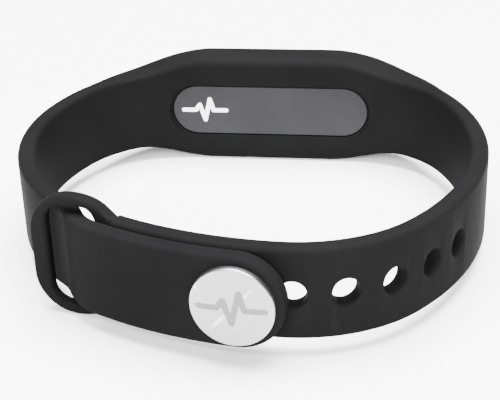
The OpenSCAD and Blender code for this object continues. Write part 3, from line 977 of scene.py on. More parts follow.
            # Rotate turns the other way when there is no window.
            bpy.ops.transform.rotate(
                value=sizes.lean / folds, orient_axis="Y", center_override=(spot, 0.0, 0.0)
            )
        clear_selection()

    def build_tip(self) -> bpy.types.Object:
        """Models the strap from under the ring's bar over the other strap to its rounded tip."""
        layout, sizes = self.layout, self.layout.sizes
        sweeper = Sweeper(layout.height)
        skin = sweeper.new_piece("silicone_tip")
        sweeper.add_loop(skin, layout.under_bar, self.strap_section())
        sweeper.sweep(layout.over_part, backwards=True)
        sweeper.round_end(skin, layout.over_part.start, sizes.width / 2)
        sweeper.pick_end(skin, layout.under_bar)
        sweeper.cap()
        finish_mesh(skin)
        return skin

    def dress(self, finish: "Finish") -> None:
        """Builds both pieces, gives them their finish and lets the cradle, straps and keeper ring ride with
        the band.
        """
        layout, sizes = self.layout, self.layout.sizes
        rest = self.build_rest()
        finish.put_on(rest)
        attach(rest, "band")
        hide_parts("strap_cradle", "hole_strap", "keeper_ring")
        tip = self.build_tip()
        finish.put_on(tip)
        flex = layout.stud_distance + sizes.flex_at
        start = layout.over_pose(flex + sizes.flex_length / 2)
        end = layout.over_pose(flex - sizes.flex_length / 2)
        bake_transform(tip)
        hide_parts("stud_strap", "strap_flex", "strap_tip")
        log.info("band: %d and %d faces", len(rest.data.polygons), len(tip.data.polygons))


# ---- The stud ---------------------------------------------------------------------------------------


@dataclass
class Stud:
    """The snap stud: its domed cap outside and the bulb on its post inside the hole.

    Attributes:
        layout: Where the stud stands.
    """

    layout: BandLayout
    cap_diameter: float = 10.9 * MM
    cap_height: float = 1.2 * MM
    cap_chamfer: float = 0.4 * MM
    dome_radius: float = 48 * MM
    post_diameter: float = 2.8 * MM
    bulb_diameter: float = 3.4 * MM
    bulb_length: float = 1.5 * MM
    bulb_out: float = 0.4 * MM

    @property
    def matrix(self) -> Matrix:
        """Axes on the tip's outer face, with local Z pointing outward."""
        pose = self.layout.over_part.start.outward(self.layout.sizes.thickness)
        return pose.matrix(self.layout.height)

    def build_cap(self) -> bpy.types.Object:
        """Models the cap as a disc with a chamfered rim and a domed face."""
        radius = self.cap_diameter / 2
        rim = self.cap_height - self.cap_chamfer
        edge = self.dome_radius * (1 - math.sqrt(1 - 2 * (radius - self.cap_chamfer) / self.dome_radius))

        def dome(r: float) -> float:
            """Returns the height of the domed face that far from its middle."""
            return self.cap_height - r * r / (2 * self.dome_radius)

        block = Block("stud_cap_turned", Plan(2 * radius, 2 * radius, radius, 32), -0.1 * MM, rim).build()
        rings, last = [], (rim, radius)
        for r in [edge] + [edge * share for share in (0.93, 0.8, 0.6, 0.4, 0.2, 0.06)]:
            rings.append((dome(r) - last[0], r - last[1]))
            last = (dome(r), r)
        block.grow(True, rings)
        cap = block.done()
        apply_modifier(
            cap, "BEVEL", width=0.1 * MM, segments=3, limit_method="ANGLE", angle_limit=math.radians(30)
        )
        finish_mesh(cap, 30.0)
        place(cap, self.matrix)
        return cap

    def build_post(self) -> bpy.types.Object:
        """Models the post and the rounded bulb that snaps into a hole."""
        sizes = self.layout.sizes
        tip = -sizes.thickness
        end = tip - sizes.layer_gap - sizes.thickness - self.bulb_out
        top = end + self.bulb_length
        block = Block("stud_post_turned", Plan.disc(self.post_diameter), top, tip).build()
        grown = (self.bulb_diameter - self.post_diameter) / 2
        block.grow(
            False,
            [
                (0.08 * MM, grown * 0.7),
                (0.14 * MM, grown * 0.3),
                (self.bulb_length - 0.72 * MM, 0.0),
                (0.25 * MM, -0.14 * MM),
                (0.17 * MM, -0.3 * MM),
                (0.06 * MM, -0.5 * MM),
                (0.02 * MM, -0.6 * MM),
            ],
        )
        return block.done(self.matrix)

    def dress(self, cap_finish: "Finish", post_finish: "Finish") -> None:
        """Builds the stud, gives it its finishes and lets it ride on the tip."""
        cap, post = self.build_cap(), self.build_post()
        cap_finish.put_on(cap)
        post_finish.put_on(post)
        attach(cap, "tip")
        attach(post, "tip")
        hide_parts("stud_cap")
        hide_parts("stud_post")
        log.info("stud: %d and %d faces", len(cap.data.polygons), len(post.data.polygons))


# ---- The pod ----------------------------------------------------------------------------------------


@dataclass
class TrackerPod:
    """The pod's shell: a lower housing with the grey plate, an upper housing and a metal cover.

    Attributes:
        frame: Axes at the cradle, with depth along local Z.
    """

    frame: Matrix
    length: float = 35 * MM
    height: float = 14 * MM
    plate: tuple[float, float] = (33.2 * MM, 8.5 * MM)
    plate_recess: float = 0.1 * MM
    ledge: float = 1.5 * MM
    lower_height: float = 3.4 * MM
    seal: float = 0.4 * MM
    depth: float = 8.6 * MM
    chamfer: float = 1.2 * MM
    cover: tuple[float, float] = (28 * MM, 8 * MM)
    cover_thickness: float = 0.5 * MM
    cover_out: float = 0.1 * MM
    guide_diameter: float = 1.4 * MM
    guide_pitch: float = 4 * MM
    contact_diameter: float = 1.45 * MM
    contact_pitch: float = 3.2 * MM
    contact_depth: float = 3.2 * MM

    def soften(self, piece: bpy.types.Object, width: float) -> None:
        """Rounds a piece's sharp edges a little."""
        apply_modifier(
            piece, "BEVEL", width=width, segments=3, limit_method="ANGLE", angle_limit=math.radians(35)
        )
        finish_mesh(piece, 35.0)

    def build_lower(self) -> bpy.types.Object:
        """Models the lower housing: the plate that shows on the wrist side and the wall behind it."""
        top = self.ledge + self.lower_height
        wall = Block("lower_wall", Plan.pill(self.length, self.height), self.ledge, top)
        plate = Block("grey_plate", Plan.pill(*self.plate), self.plate_recess, self.ledge + 0.2 * MM)
        pieces = [wall.build().done(), plate.build().done()]
        for side in (-1, 1):
            hole = Block("contact_cutter", Plan.disc(self.contact_diameter), -1.2 * MM, 3 * MM).build()
            turn = Matrix.Rotation(math.pi / 2, 4, "Y")
            spot = Vector((self.length / 2 - 0.3 * MM, side * self.contact_pitch / 2, self.contact_depth))
            cut(pieces[0], [hole.done(Matrix.Translation(spot) @ turn)])
        for piece in pieces:
            self.soften(piece, 0.15 * MM)
            place(piece, self.frame)
        return join("pod_lower_shell", pieces)

    def build_upper(self) -> bpy.types.Object:
        """Models the upper housing with its chamfered rim and the recess for the cover."""
        base = self.ledge + self.lower_height + self.seal
        block = Block("pod_upper_shell", Plan.pill(self.length, self.height), base, self.depth - self.chamfer)
        shell = block.build().grow(True, [(self.chamfer, -self.chamfer)]).done()
        recess = Block(
            "recess_cutter",
            Plan.pill(self.cover[0] + 0.1 * MM, self.cover[1] + 0.1 * MM),
            self.depth + self.cover_out - self.cover_thickness,
            self.depth + MM,
        )
        cut(shell, [recess.build().done()])
        self.soften(shell, 0.18 * MM)
        place(shell, self.frame)
        return shell

    def build_cover(self) -> bpy.types.Object:
        """Models the metal cover with its three indicator windows."""
        top = self.depth + self.cover_out
        base = top - self.cover_thickness
        cover = Block("pod_cover_plate", Plan.pill(*self.cover), base, top).build().done()
        self.soften(cover, 0.12 * MM)
        windows = []
        for k in (-1, 0, 1):
            window = Block("window_cutter", Plan.disc(self.guide_diameter), top - MM, top + MM).build()
            windows.append(window.done(Matrix.Translation((k * self.guide_pitch, 0.0, 0.0))))
        cut(cover, windows)
        finish_mesh(cover, 35.0, outward=False)
        place(cover, self.frame)
        return cover

    def dress(self, plate_finish: "Finish", shell_finish: "Finish", cover_finish: "Finish") -> None:
        """Builds the shell, gives it its finishes and lets it ride on the pod."""
        parts = (
            (self.build_lower(), plate_finish, "pod_lower_housing"),
            (self.build_upper(), shell_finish, "pod_upper_housing"),
            (self.build_cover(), cover_finish, "pod_top_cover"),
        )
        for piece, finish, node in parts:
            finish.put_on(piece)
            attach(piece, "pod")
            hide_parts(node)
            log.info("%s: %d faces", piece.name, len(piece.data.polygons))


# ---- Finishes ---------------------------------------------------------------------------------------

Colour = tuple[float, float, float]
Socket = bpy.types.NodeSocket
RANGE_INPUTS = ("Value", "From Min", "From Max", "To Min", "To Max")


class Grain(Enum):
    """How a surface's finest marks lie."""

    EVEN = "even"
    SPARK = "spark"
    TURNED = "turned"
    DRAWN = "drawn"


class NodeDesk:
    """Adds and links shader nodes in one node tree.

    Attributes:
        tree: The tree.
    """

    def __init__(self, tree: bpy.types.NodeTree) -> None:
        """Takes a tree to work in."""
        self.tree = tree

    def add(self, kind: str, **settings: object) -> bpy.types.Node:
        """Adds a node of a kind and sets its properties."""
        node = self.tree.nodes.new(kind)
        for name, value in settings.items():
            setattr(node, name, value)
        return node

    def feed(self, socket: Socket, value: object) -> None:
        """Links a socket to another, or sets its value."""
        if isinstance(value, bpy.types.NodeSocket):
            self.tree.links.new(value, socket)
        else:
            socket.default_value = value

    def maths(self, operation: str, *values: object, clamp: bool = False) -> Socket:
        """Adds a Math node.

        Args:
            operation: Blender's name of the operation.
            values: Its inputs in order.
            clamp: Whether the result is kept between 0 and 1.

        Returns:
            The result's socket.
        """
        node = self.add("ShaderNodeMath", operation=operation, use_clamp=clamp)
        for socket, value in zip(node.inputs, values):
            self.feed(socket, value)
        return node.outputs[0]

    def vector(self, operation: str, *values: object, out: str = "Vector") -> Socket:
        """Adds a Vector Math node and returns the socket called out."""
        node = self.add("ShaderNodeVectorMath", operation=operation)
        for socket, value in zip(node.inputs, values):
            self.feed(socket, value)
        return node.outputs[out]

    def noise(self, coordinates: Socket, scale: object, detail: float, roughness: float = 0.55) -> Socket:
        """Adds a Noise Texture and returns its value."""
        node = self.add("ShaderNodeTexNoise")
        self.feed(node.inputs["Vector"], coordinates)
        self.feed(node.inputs["Scale"], scale)
        node.inputs["Detail"].default_value = detail
        node.inputs["Roughness"].default_value = roughness
        return node.outputs[0]

    def between(self, mask: Socket, low: float, high: float, start: float = 0.0, end: float = 1.0) -> Socket:
        """Maps a mask from start..end to low..high."""
        node = self.add("ShaderNodeMapRange")
        for label, value in zip(RANGE_INPUTS, (mask, start, end, low, high)):
            self.feed(node.inputs[label], value)
        return node.outputs[0]

    def mix(self, mask: Socket, first: object, second: object) -> Socket:
        """Mixes two colours by a mask."""
        node = self.add("ShaderNodeMix", data_type="RGBA")
        factor, *colours = [socket for socket in node.inputs if socket.enabled]
        self.feed(factor, mask)
        for socket, colour in zip(colours, (first, second)):
            self.feed(socket, colour if isinstance(colour, bpy.types.NodeSocket) else (*colour, 1.0))
        return next(socket for socket in node.outputs if socket.enabled)


class SharedEffects:
    """Shader node groups that several finishes use, each built once."""

    _built: dict[str, bpy.types.NodeTree] = {}

    @classmethod
    def _start(
        cls, name: str, inputs: Sequence[tuple[str, str]], outputs: Sequence[tuple[str, str]]
    ) -> tuple[NodeDesk, bpy.types.Node, bpy.types.Node]:
        """Starts a group with its sockets.

        Args:
            name: The group's name.
            inputs: Name and kind of each input.
            outputs: Name and kind of each output.

        Returns:
            The group's desk, its input node and its output node.
        """
        tree = bpy.data.node_groups.new(name, "ShaderNodeTree")
        for label, kind in inputs:
            tree.interface.new_socket(label, in_out="INPUT", socket_type=kind)
        for label, kind in outputs:
            tree.interface.new_socket(label, in_out="OUTPUT", socket_type=kind)
        desk = NodeDesk(tree)
        cls._built[name] = tree
        return desk, desk.add("NodeGroupInput"), desk.add("NodeGroupOutput")

    @classmethod
    def surface_grain(cls) -> bpy.types.NodeTree:
        """Fine grain, broad smudges and the bump of the grain.

        Returns:
            A group with inputs Coordinates, Grain Scale, Grain Depth and Smudge Scale, and outputs Grain,
            Smudge and Normal.
        """
        if "surface_grain" in cls._built:
            return cls._built["surface_grain"]
        desk, start, end = cls._start(
            "surface_grain",
            (
                ("Coordinates", "NodeSocketVector"),
                ("Grain Scale", "NodeSocketFloat"),
                ("Grain Depth", "NodeSocketFloat"),
                ("Smudge Scale", "NodeSocketFloat"),
            ),
            (("Grain", "NodeSocketFloat"), ("Smudge", "NodeSocketFloat"), ("Normal", "NodeSocketVector")),
        )
        place_at = start.outputs["Coordinates"]
        grain = desk.noise(place_at, start.outputs["Grain Scale"], 3.0)
        finer = desk.noise(place_at, desk.maths("MULTIPLY", start.outputs["Grain Scale"], 2.7), 1.0)
        height = desk.maths("ADD", desk.maths("MULTIPLY", grain, 0.7), desk.maths("MULTIPLY", finer, 0.3))
        smudge = desk.noise(place_at, start.outputs["Smudge Scale"], 4.0, 0.6)
        bump = desk.add("ShaderNodeBump")
        bump.inputs["Strength"].default_value = 1.0
        desk.feed(bump.inputs["Distance"], start.outputs["Grain Depth"])
        desk.feed(bump.inputs["Height"], height)
        desk.feed(end.inputs["Grain"], desk.between(height, 0.0, 1.0, 0.35, 0.65))
        desk.feed(end.inputs["Smudge"], desk.between(smudge, 0.0, 1.0, 0.35, 0.65))
        desk.feed(end.inputs["Normal"], bump.outputs["Normal"])
        return desk.tree

    @classmethod
    def edge_wear_and_highlight(cls) -> bpy.types.NodeTree:
        """A mask of outward edges, broken up by noise: real edge wear on most finishes and a painted
        highlight on the silicone's rounded edges.

        Returns:
            A group with inputs Coordinates, Scale and Amount, and output WearAndHighlight.
        """
        if "edge_wear_and_highlight" in cls._built:
            return cls._built["edge_wear_and_highlight"]
        desk, start, end = cls._start(
            "edge_wear_and_highlight",
            (
                ("Coordinates", "NodeSocketVector"),
                ("Scale", "NodeSocketFloat"),
                ("Amount", "NodeSocketFloat"),
            ),
            (("WearAndHighlight", "NodeSocketFloat"),),
        )
        # Outward edges by pointiness: real wear on metal and plastic, a painted highlight on the silicone.
        sharpness = desk.between(desk.add("ShaderNodeNewGeometry").outputs["Pointiness"], 0.0, 1.0, 0.5, 0.6)
        noise = desk.noise(start.outputs["Coordinates"], start.outputs["Scale"], 3.0)
        patchy = desk.between(noise, 0.3, 1.0, 0.4, 0.6)
        patches = desk.maths("MULTIPLY", sharpness, patchy)
        wear_and_highlight = desk.maths("MULTIPLY", patches, start.outputs["Amount"], clamp=True)
        desk.feed(end.inputs["WearAndHighlight"], wear_and_highlight)
        return desk.tree

    @classmethod
    def pulse_line(cls) -> bpy.types.NodeTree:
        """A plain heartbeat line, as a mask.

        Returns:
            A group with inputs Place (X along the line and Y up it, in line lengths) and Width, and
            output Mask.
        """
        if "pulse_line" in cls._built:
            return cls._built["pulse_line"]
        desk, start, end = cls._start(
            "pulse_line",
            (("Place", "NodeSocketVector"), ("Width", "NodeSocketFloat")),
            (("Mask", "NodeSocketFloat"),),
        )
        knots = [(-0.5, 0.0), (-0.22, 0.0), (-0.12, 0.13), (0.0, -0.24), (0.12, 0.27), (0.2, 0.0), (0.5, 0.0)]
        nearest: Optional[Socket] = None
        for (x0, y0), (x1, y1) in zip(knots, knots[1:]):
            run = (x1 - x0, y1 - y0, 0.0)
            size = run[0] ** 2 + run[1] ** 2
            offset = desk.vector("SUBTRACT", start.outputs["Place"], (x0, y0, 0.0))
            reached = desk.vector("DOT_PRODUCT", offset, run, out="Value")
            share = desk.maths("DIVIDE", reached, size, clamp=True)
            along = desk.add("ShaderNodeCombineXYZ")
            desk.feed(along.inputs["X"], desk.maths("MULTIPLY", share, run[0]))
            desk.feed(along.inputs["Y"], desk.maths("MULTIPLY", share, run[1]))
            away = desk.vector("LENGTH", desk.vector("SUBTRACT", offset, along.outputs[0]), out="Value")
            nearest = away if nearest is None else desk.maths("MINIMUM", nearest, away)
        half = desk.maths("MULTIPLY", start.outputs["Width"], 0.5)
        soft = desk.maths("MULTIPLY", start.outputs["Width"], 0.62)
        fade = desk.add("ShaderNodeMapRange", interpolation_type="SMOOTHSTEP")
        for label, value in zip(RANGE_INPUTS, (nearest, half, soft, 1.0, 0.0)):
            desk.feed(fade.inputs[label], value)
        desk.feed(end.inputs["Mask"], fade.outputs[0])
        return desk.tree


@dataclass(frozen=True)
class Mark:
    """A pulse line printed on a face.

    Attributes:
        centre: Middle of the line, in the frame.
        turn: Turn in radians of the face's own X from the frame's X, about the frame's Z.
        length: Length of the line.
        width: Width of the stroke, as a share of the length.
        tone: Its colour.
    """

    centre: Vector
    turn: float
    length: float
    width: float
    tone: Colour


@dataclass(frozen=True)
class Finish:
    """A surface finish that a maker would name, with its colours, gloss and grain.

    Attributes:
        name: Name of the material.
        slot: The material slot it would fill; not used.
        tone: Main colour.
        second: Colour of its smudges.
        gloss: Lowest and highest roughness.
        metallic: 1 for bare metal.
        grain: How the finest marks lie.
        grain_size: Size of one grain.
        grain_depth: Depth of the grain.
        smudge_size: Size of the broad variation.
        wear_and_highlight: How strongly outward edges take their edge colour: polish or scuffs on metal and
            plastic, a painted highlight on the silicone.
        worn_and_lit_edges: Colour of those edges, worn on metal and plastic and a painted highlight on the
            silicone.
        specular: How strongly it reflects, 0.5 being common.
        sheen: Soft sheen, as on silicone.
        see_through: How much light passes, for light guides.
        axis: Point and turn of the turned marks' axis, where there are any.
        mark: What is printed on it.
    """

    name: str
    slot: str
    tone: Colour
    second: Colour
    gloss: tuple[float, float]
    metallic: float = 0.0
    grain: Grain = Grain.EVEN
    grain_size: float = 0.25 * MM
    grain_depth: float = 0.004 * MM
    smudge_size: float = 6 * MM
    wear_and_highlight: float = 0.0
    worn_and_lit_edges: Colour = (0.5, 0.5, 0.5)
    specular: float = 0.5
    sheen: float = 0.0
    see_through: float = 0.0
    axis: Optional[tuple[Vector, float]] = None
    mark: Optional[Mark] = None

    def build(self) -> bpy.types.Material:
        """Builds the material and returns it."""
        material = bpy.data.materials.new(self.name)
        material.use_nodes = True
        desk = NodeDesk(material.node_tree)
        shader = material.node_tree.nodes["Principled BSDF"]
        coordinates = desk.add("ShaderNodeTexCoord").outputs["Object"]
        effect = desk.add("ShaderNodeGroup", node_tree=SharedEffects.surface_grain())
        desk.feed(effect.inputs["Coordinates"], self._grain_place(desk, coordinates))
        effect.inputs["Grain Scale"].default_value = 1.0 / self.grain_size / 2.0
        effect.inputs["Grain Depth"].default_value = self.grain_depth
        effect.inputs["Smudge Scale"].default_value = 1.0 / self.smudge_size / 2.0
        colour = desk.mix(effect.outputs["Smudge"], self.tone, self.second)
        speck = desk.between(effect.outputs["Grain"], 0.0, 0.35 if self.grain is Grain.SPARK else 0.12)
        colour = desk.mix(speck, colour, tuple(min(1.0, c * 1.6) for c in self.tone))
        gloss = desk.between(effect.outputs["Smudge"], *self.gloss)
        # Outward edges take the edge colour: real wear on metal and plastic, a painted highlight on the
        # silicone.
        if self.wear_and_highlight > 0:
            worn_and_lit_edges = desk.add("ShaderNodeGroup", node_tree=SharedEffects.edge_wear_and_highlight())
            desk.feed(worn_and_lit_edges.inputs["Coordinates"], coordinates)
            worn_and_lit_edges.inputs["Scale"].default_value = 900.0
            worn_and_lit_edges.inputs["Amount"].default_value = self.wear_and_highlight
            colour = desk.mix(worn_and_lit_edges.outputs["WearAndHighlight"], colour, self.worn_and_lit_edges)
            gloss = desk.maths("SUBTRACT", gloss, desk.maths("MULTIPLY", worn_and_lit_edges.outputs["WearAndHighlight"], 0.1))
        if self.mark is not None:
            mask = self._mark_mask(desk, coordinates)
            colour = desk.mix(mask, colour, self.mark.tone)
            if self.metallic > 0:
                desk.feed(shader.inputs["Metallic"], desk.maths("SUBTRACT", self.metallic, mask, clamp=True))
            gloss = desk.maths("MAXIMUM", gloss, desk.maths("MULTIPLY", mask, 0.55))
        elif self.metallic > 0:
            shader.inputs["Metallic"].default_value = self.metallic
        desk.feed(shader.inputs["Base Color"], colour)
        desk.feed(shader.inputs["Roughness"], gloss)
        desk.feed(shader.inputs["Normal"], effect.outputs["Normal"])
        shader.inputs["Specular IOR Level"].default_value = self.specular
        if self.sheen > 0:
            shader.inputs["Sheen Weight"].default_value = self.sheen
            shader.inputs["Sheen Roughness"].default_value = 0.5
        if self.see_through > 0:
            shader.inputs["Transmission Weight"].default_value = self.see_through
        material.diffuse_color = (*self.tone, 1.0)
        return material

    def _grain_place(self, desk: NodeDesk, coordinates: Socket) -> Socket:
        """Stretches or turns the coordinates the way the grain lies."""
        if self.grain is Grain.DRAWN:
            return desk.vector("MULTIPLY", coordinates, (0.06, 1.0, 1.0))
        if self.grain is Grain.TURNED and self.axis is not None:
            local = self._face_place(desk, coordinates, *self.axis)
            parts = desk.add("ShaderNodeSeparateXYZ")
            desk.feed(parts.inputs[0], local)
            squared = [desk.maths("MULTIPLY", parts.outputs[k], parts.outputs[k]) for k in (0, 1)]
            radius = desk.maths("SQRT", desk.maths("ADD", *squared))
            angle = desk.maths("ARCTAN2", parts.outputs[1], parts.outputs[0])
            ring = desk.add("ShaderNodeCombineXYZ")
            desk.feed(ring.inputs["X"], radius)
            desk.feed(ring.inputs["Y"], desk.maths("MULTIPLY", desk.maths("SINE", angle), 0.25 * MM))
            desk.feed(ring.inputs["Z"], parts.outputs[2])
            return ring.outputs[0]
        return coordinates

    @staticmethod
    def _face_place(desk: NodeDesk, coordinates: Socket, centre: Vector, turn: float) -> Socket:
        """Gives coordinates on a face that stands upright: X along it, Y up and Z out of it."""
        moved = desk.vector("SUBTRACT", coordinates, tuple(centre))
        right = (math.cos(turn), math.sin(turn), 0.0)
        out = (math.sin(turn), -math.cos(turn), 0.0)
        local = desk.add("ShaderNodeCombineXYZ")
        for socket, axis in zip(local.inputs, (right, (0.0, 0.0, 1.0), out)):
            desk.feed(socket, desk.vector("DOT_PRODUCT", moved, axis, out="Value"))
        return local.outputs[0]

    def _mark_mask(self, desk: NodeDesk, coordinates: Socket) -> Socket:
        """Places the pulse line on its face and returns its mask."""
        mark = self.mark
        local = self._face_place(desk, coordinates, mark.centre, mark.turn)
        sized = desk.vector("MULTIPLY", local, (1 / mark.length, 1 / mark.length, 0.0))
        line = desk.add("ShaderNodeGroup", node_tree=SharedEffects.pulse_line())
        desk.feed(line.inputs["Place"], sized)
        line.inputs["Width"].default_value = mark.width
        out = desk.add("ShaderNodeSeparateXYZ")
        desk.feed(out.inputs[0], local)
        near = desk.between(desk.maths("ABSOLUTE", out.outputs[2]), 1.0, 0.0, 0.4 * MM, 0.5 * MM)
        return desk.maths("MULTIPLY", line.outputs["Mask"], near, clamp=True)

    def put_on(self, piece: bpy.types.Object) -> None:
        """Gives a piece this finish."""
        self.paint(piece)

    def paint(self, piece: bpy.types.Object) -> None:
        """Gives a piece this finish alone."""
        material = bpy.data.materials.get(self.name) or self.build()
        piece.data.materials.clear()
        piece.data.materials.append(material)


# ---- Finishes of this tracker ------------------------------------------------------------------------


@dataclass
class FinishShelf:
    """Every finish on the tracker, with the marks placed on the plate and on the stud.

    Attributes:
        plate_face: Axes at the cradle.
        stud_face: Axes at the stud.
    """

    plate_face: Matrix
    stud_face: Matrix

    @property
    def silicone(self) -> Finish:
        """Matte moulded silicone, with a painted highlight on its rounded outward edges."""
        return Finish(
            "matte_silicone",
            "silicone",
            tone=(0.004, 0.004, 0.0042),
            second=(0.0052, 0.0052, 0.0054),
            gloss=(0.5, 0.6),
            grain_size=0.14 * MM,
            grain_depth=0.01 * MM,
            smudge_size=9 * MM,
            # Painted highlight: the outward edges are lightened to stand in for light on their rounding.
            wear_and_highlight=0.12,
            worn_and_lit_edges=(0.016, 0.016, 0.0165),
            specular=0.003,
        )

    @property
    def stud_metal(self) -> Finish:
        """Satin turned metal with a printed pulse line."""
        spot = self.stud_face.translation
        out = self.stud_face.to_3x3() @ Vector((0.0, 0.0, 1.0))
        turn = math.atan2(out.x, -out.y)
        face = spot + out * 1.15 * MM
        return Finish(
            "satin_turned_metal",
            "stud_metal",
            tone=(0.24, 0.24, 0.245),
            second=(0.29, 0.29, 0.295),
            gloss=(0.28, 0.36),
            metallic=1.0,
            grain=Grain.TURNED,
            grain_size=0.05 * MM,
            grain_depth=0.0012 * MM,
            smudge_size=3 * MM,
            wear_and_highlight=0.5,
            worn_and_lit_edges=(0.75, 0.75, 0.76),
            axis=(face, turn),
            mark=Mark(face, turn, 8.5 * MM, 0.085, (0.1, 0.1, 0.103)),
        )

    @property
    def plate(self) -> Finish:
        """Grey plastic with a spark-eroded grain and a white pulse line."""
        centre = self.plate_face @ Vector((-11.1 * MM, 0.0, 0.1 * MM))
        return Finish(
            "grey_spark_plastic",
            "plate_grey",
            tone=(0.013, 0.013, 0.014),
            second=(0.017, 0.017, 0.018),
            gloss=(0.45, 0.54),
            specular=0.08,
            grain=Grain.SPARK,
            grain_size=0.07 * MM,
            grain_depth=0.012 * MM,
            smudge_size=5 * MM,
            mark=Mark(centre, 0.0, 7.3 * MM, 0.09, (0.88, 0.88, 0.88)),
        )

    @property
    def pod_black(self) -> Finish:
        """Black moulded plastic with a fine grain."""
        return Finish(
            "black_moulded_plastic",
            "pod_black",
            tone=(0.005, 0.005, 0.0055),
            second=(0.007, 0.007, 0.0075),
            gloss=(0.36, 0.46),
            specular=0.1,
            grain_size=0.12 * MM,
            grain_depth=0.006 * MM,
            wear_and_highlight=0.3,
            worn_and_lit_edges=(0.05, 0.05, 0.052),
        )

    @property
    def cover_metal(self) -> Finish:
        """Bead-blasted anodised aluminium."""
        return Finish(
            "bead_blasted_aluminium",
            "cover_metal",
            tone=(0.62, 0.63, 0.65),
            second=(0.68, 0.69, 0.71),
            gloss=(0.34, 0.42),
            metallic=1.0,
            grain=Grain.SPARK,
            grain_size=0.06 * MM,
            grain_depth=0.006 * MM,
            smudge_size=5 * MM,
            wear_and_highlight=0.4,
            worn_and_lit_edges=(0.85, 0.86, 0.88),
        )

    def inner(self) -> dict[str, Finish]:
        """Finishes of the CAD nodes that show when the pod is opened, by node."""
        steel = Finish(
            "bright_steel", "plain_steel", (0.6, 0.6, 0.61), (0.68, 0.68, 0.69), (0.22, 0.34), 1.0,
            Grain.DRAWN, 0.06 * MM, 0.001 * MM, 2 * MM, 0.3, (0.85, 0.85, 0.86),
        )
        chip = Finish(
            "epoxy_chip_black", "chip_black", (0.018, 0.018, 0.019), (0.024, 0.024, 0.025), (0.45, 0.6), 0.0,
            Grain.SPARK, 0.05 * MM, 0.004 * MM, MM,
        )
        gold = Finish(
            "hard_gold_plate", "gold_plate", (0.8, 0.58, 0.24), (0.86, 0.65, 0.3), (0.2, 0.32), 1.0,
            Grain.EVEN, 0.06 * MM, 0.001 * MM, MM, 0.3, (0.95, 0.78, 0.42),
        )
        foam = Finish(
            "closed_cell_foam", "foam", (0.05, 0.05, 0.052), (0.07, 0.07, 0.072), (0.8, 0.95), 0.0,
            Grain.SPARK, 0.14 * MM, 0.04 * MM, MM, sheen=0.2,
        )
        guide = Finish(
            "clear_light_guide", "guide_clear", (0.86, 0.88, 0.9), (0.9, 0.92, 0.94), (0.08, 0.16), 0.0,
            Grain.EVEN, 0.2 * MM, 0.001 * MM, MM, see_through=0.6,
        )
        finishes = {
            "housing_seal": Finish(
                "grey_seal_rubber", "seal_rubber", (0.04, 0.04, 0.044), (0.055, 0.055, 0.06), (0.55, 0.7),
                0.0, Grain.EVEN, 0.1 * MM, 0.008 * MM, 2 * MM,
            ),
            "board_carrier": Finish(
                "dark_carrier_plastic", "carrier_plastic", (0.05, 0.05, 0.06), (0.065, 0.065, 0.075),
                (0.42, 0.54), 0.0, Grain.EVEN, 0.12 * MM, 0.006 * MM, 3 * MM, 0.3, (0.12, 0.12, 0.14),
            ),
            "main_board": Finish(
                "green_solder_mask", "board_green", (0.008, 0.085, 0.035), (0.012, 0.13, 0.055), (0.25, 0.36),
                0.0, Grain.SPARK, 0.18 * MM, 0.006 * MM, 0.9 * MM,
            ),
            "chip_antenna": Finish(
                "white_ceramic", "ceramic", (0.72, 0.72, 0.7), (0.8, 0.8, 0.78), (0.3, 0.42), 0.0,
                Grain.EVEN, 0.06 * MM, 0.002 * MM, MM,
            ),
            "capacitors": Finish(
                "tan_capacitor_ceramic", "capacitor_tan", (0.36, 0.24, 0.14), (0.45, 0.31, 0.19), (0.4, 0.52),
                0.0, Grain.EVEN, 0.06 * MM, 0.003 * MM, 0.8 * MM,
            ),
            "battery_cell": Finish(
                "cell_pouch_foil", "cell_foil", (0.55, 0.56, 0.58), (0.66, 0.67, 0.69), (0.26, 0.4), 1.0,
                Grain.DRAWN, 0.3 * MM, 0.012 * MM, 3 * MM, 0.3, (0.8, 0.8, 0.82),
            ),
            "motor_weight": Finish(
                "sintered_tungsten", "tungsten", (0.3, 0.3, 0.31), (0.37, 0.37, 0.38), (0.4, 0.5), 1.0,
                Grain.SPARK, 0.06 * MM, 0.004 * MM, MM, 0.3, (0.6, 0.6, 0.61),
            ),
            "motor_tail": Finish(
                "amber_flex_circuit", "flex_amber", (0.5, 0.2, 0.035), (0.58, 0.26, 0.05), (0.24, 0.36), 0.0,
                Grain.DRAWN, 0.3 * MM, 0.003 * MM, MM,
            ),
        }
        shared = (
            (steel, ("stud_washer", "crystal", "shield_can", "battery_tabs", "motor_case", "motor_base")),
            (steel, ("motor_shaft",)),
            (chip, ("bluetooth_chip", "motion_sensor", "charger_chip")),
            (gold, ("charging_contacts", "contact_springs")),
            (foam, ("battery_pad", "motor_pad")),
            (guide, ("indicator_leds", "light_guides")),
        )
        for finish, nodes in shared:
            finishes.update({node: finish for node in nodes})
        return finishes

    def dress_inner(self, nodes: dict[str, bpy.types.Object]) -> None:
        """Gives every CAD node that still shows its finish."""
        for name, finish in self.inner().items():
            finish.paint(nodes[name])
            log.info("%s: %s", name, finish.name)


# ---- Studio ------------------------------------------------------------------------------------------


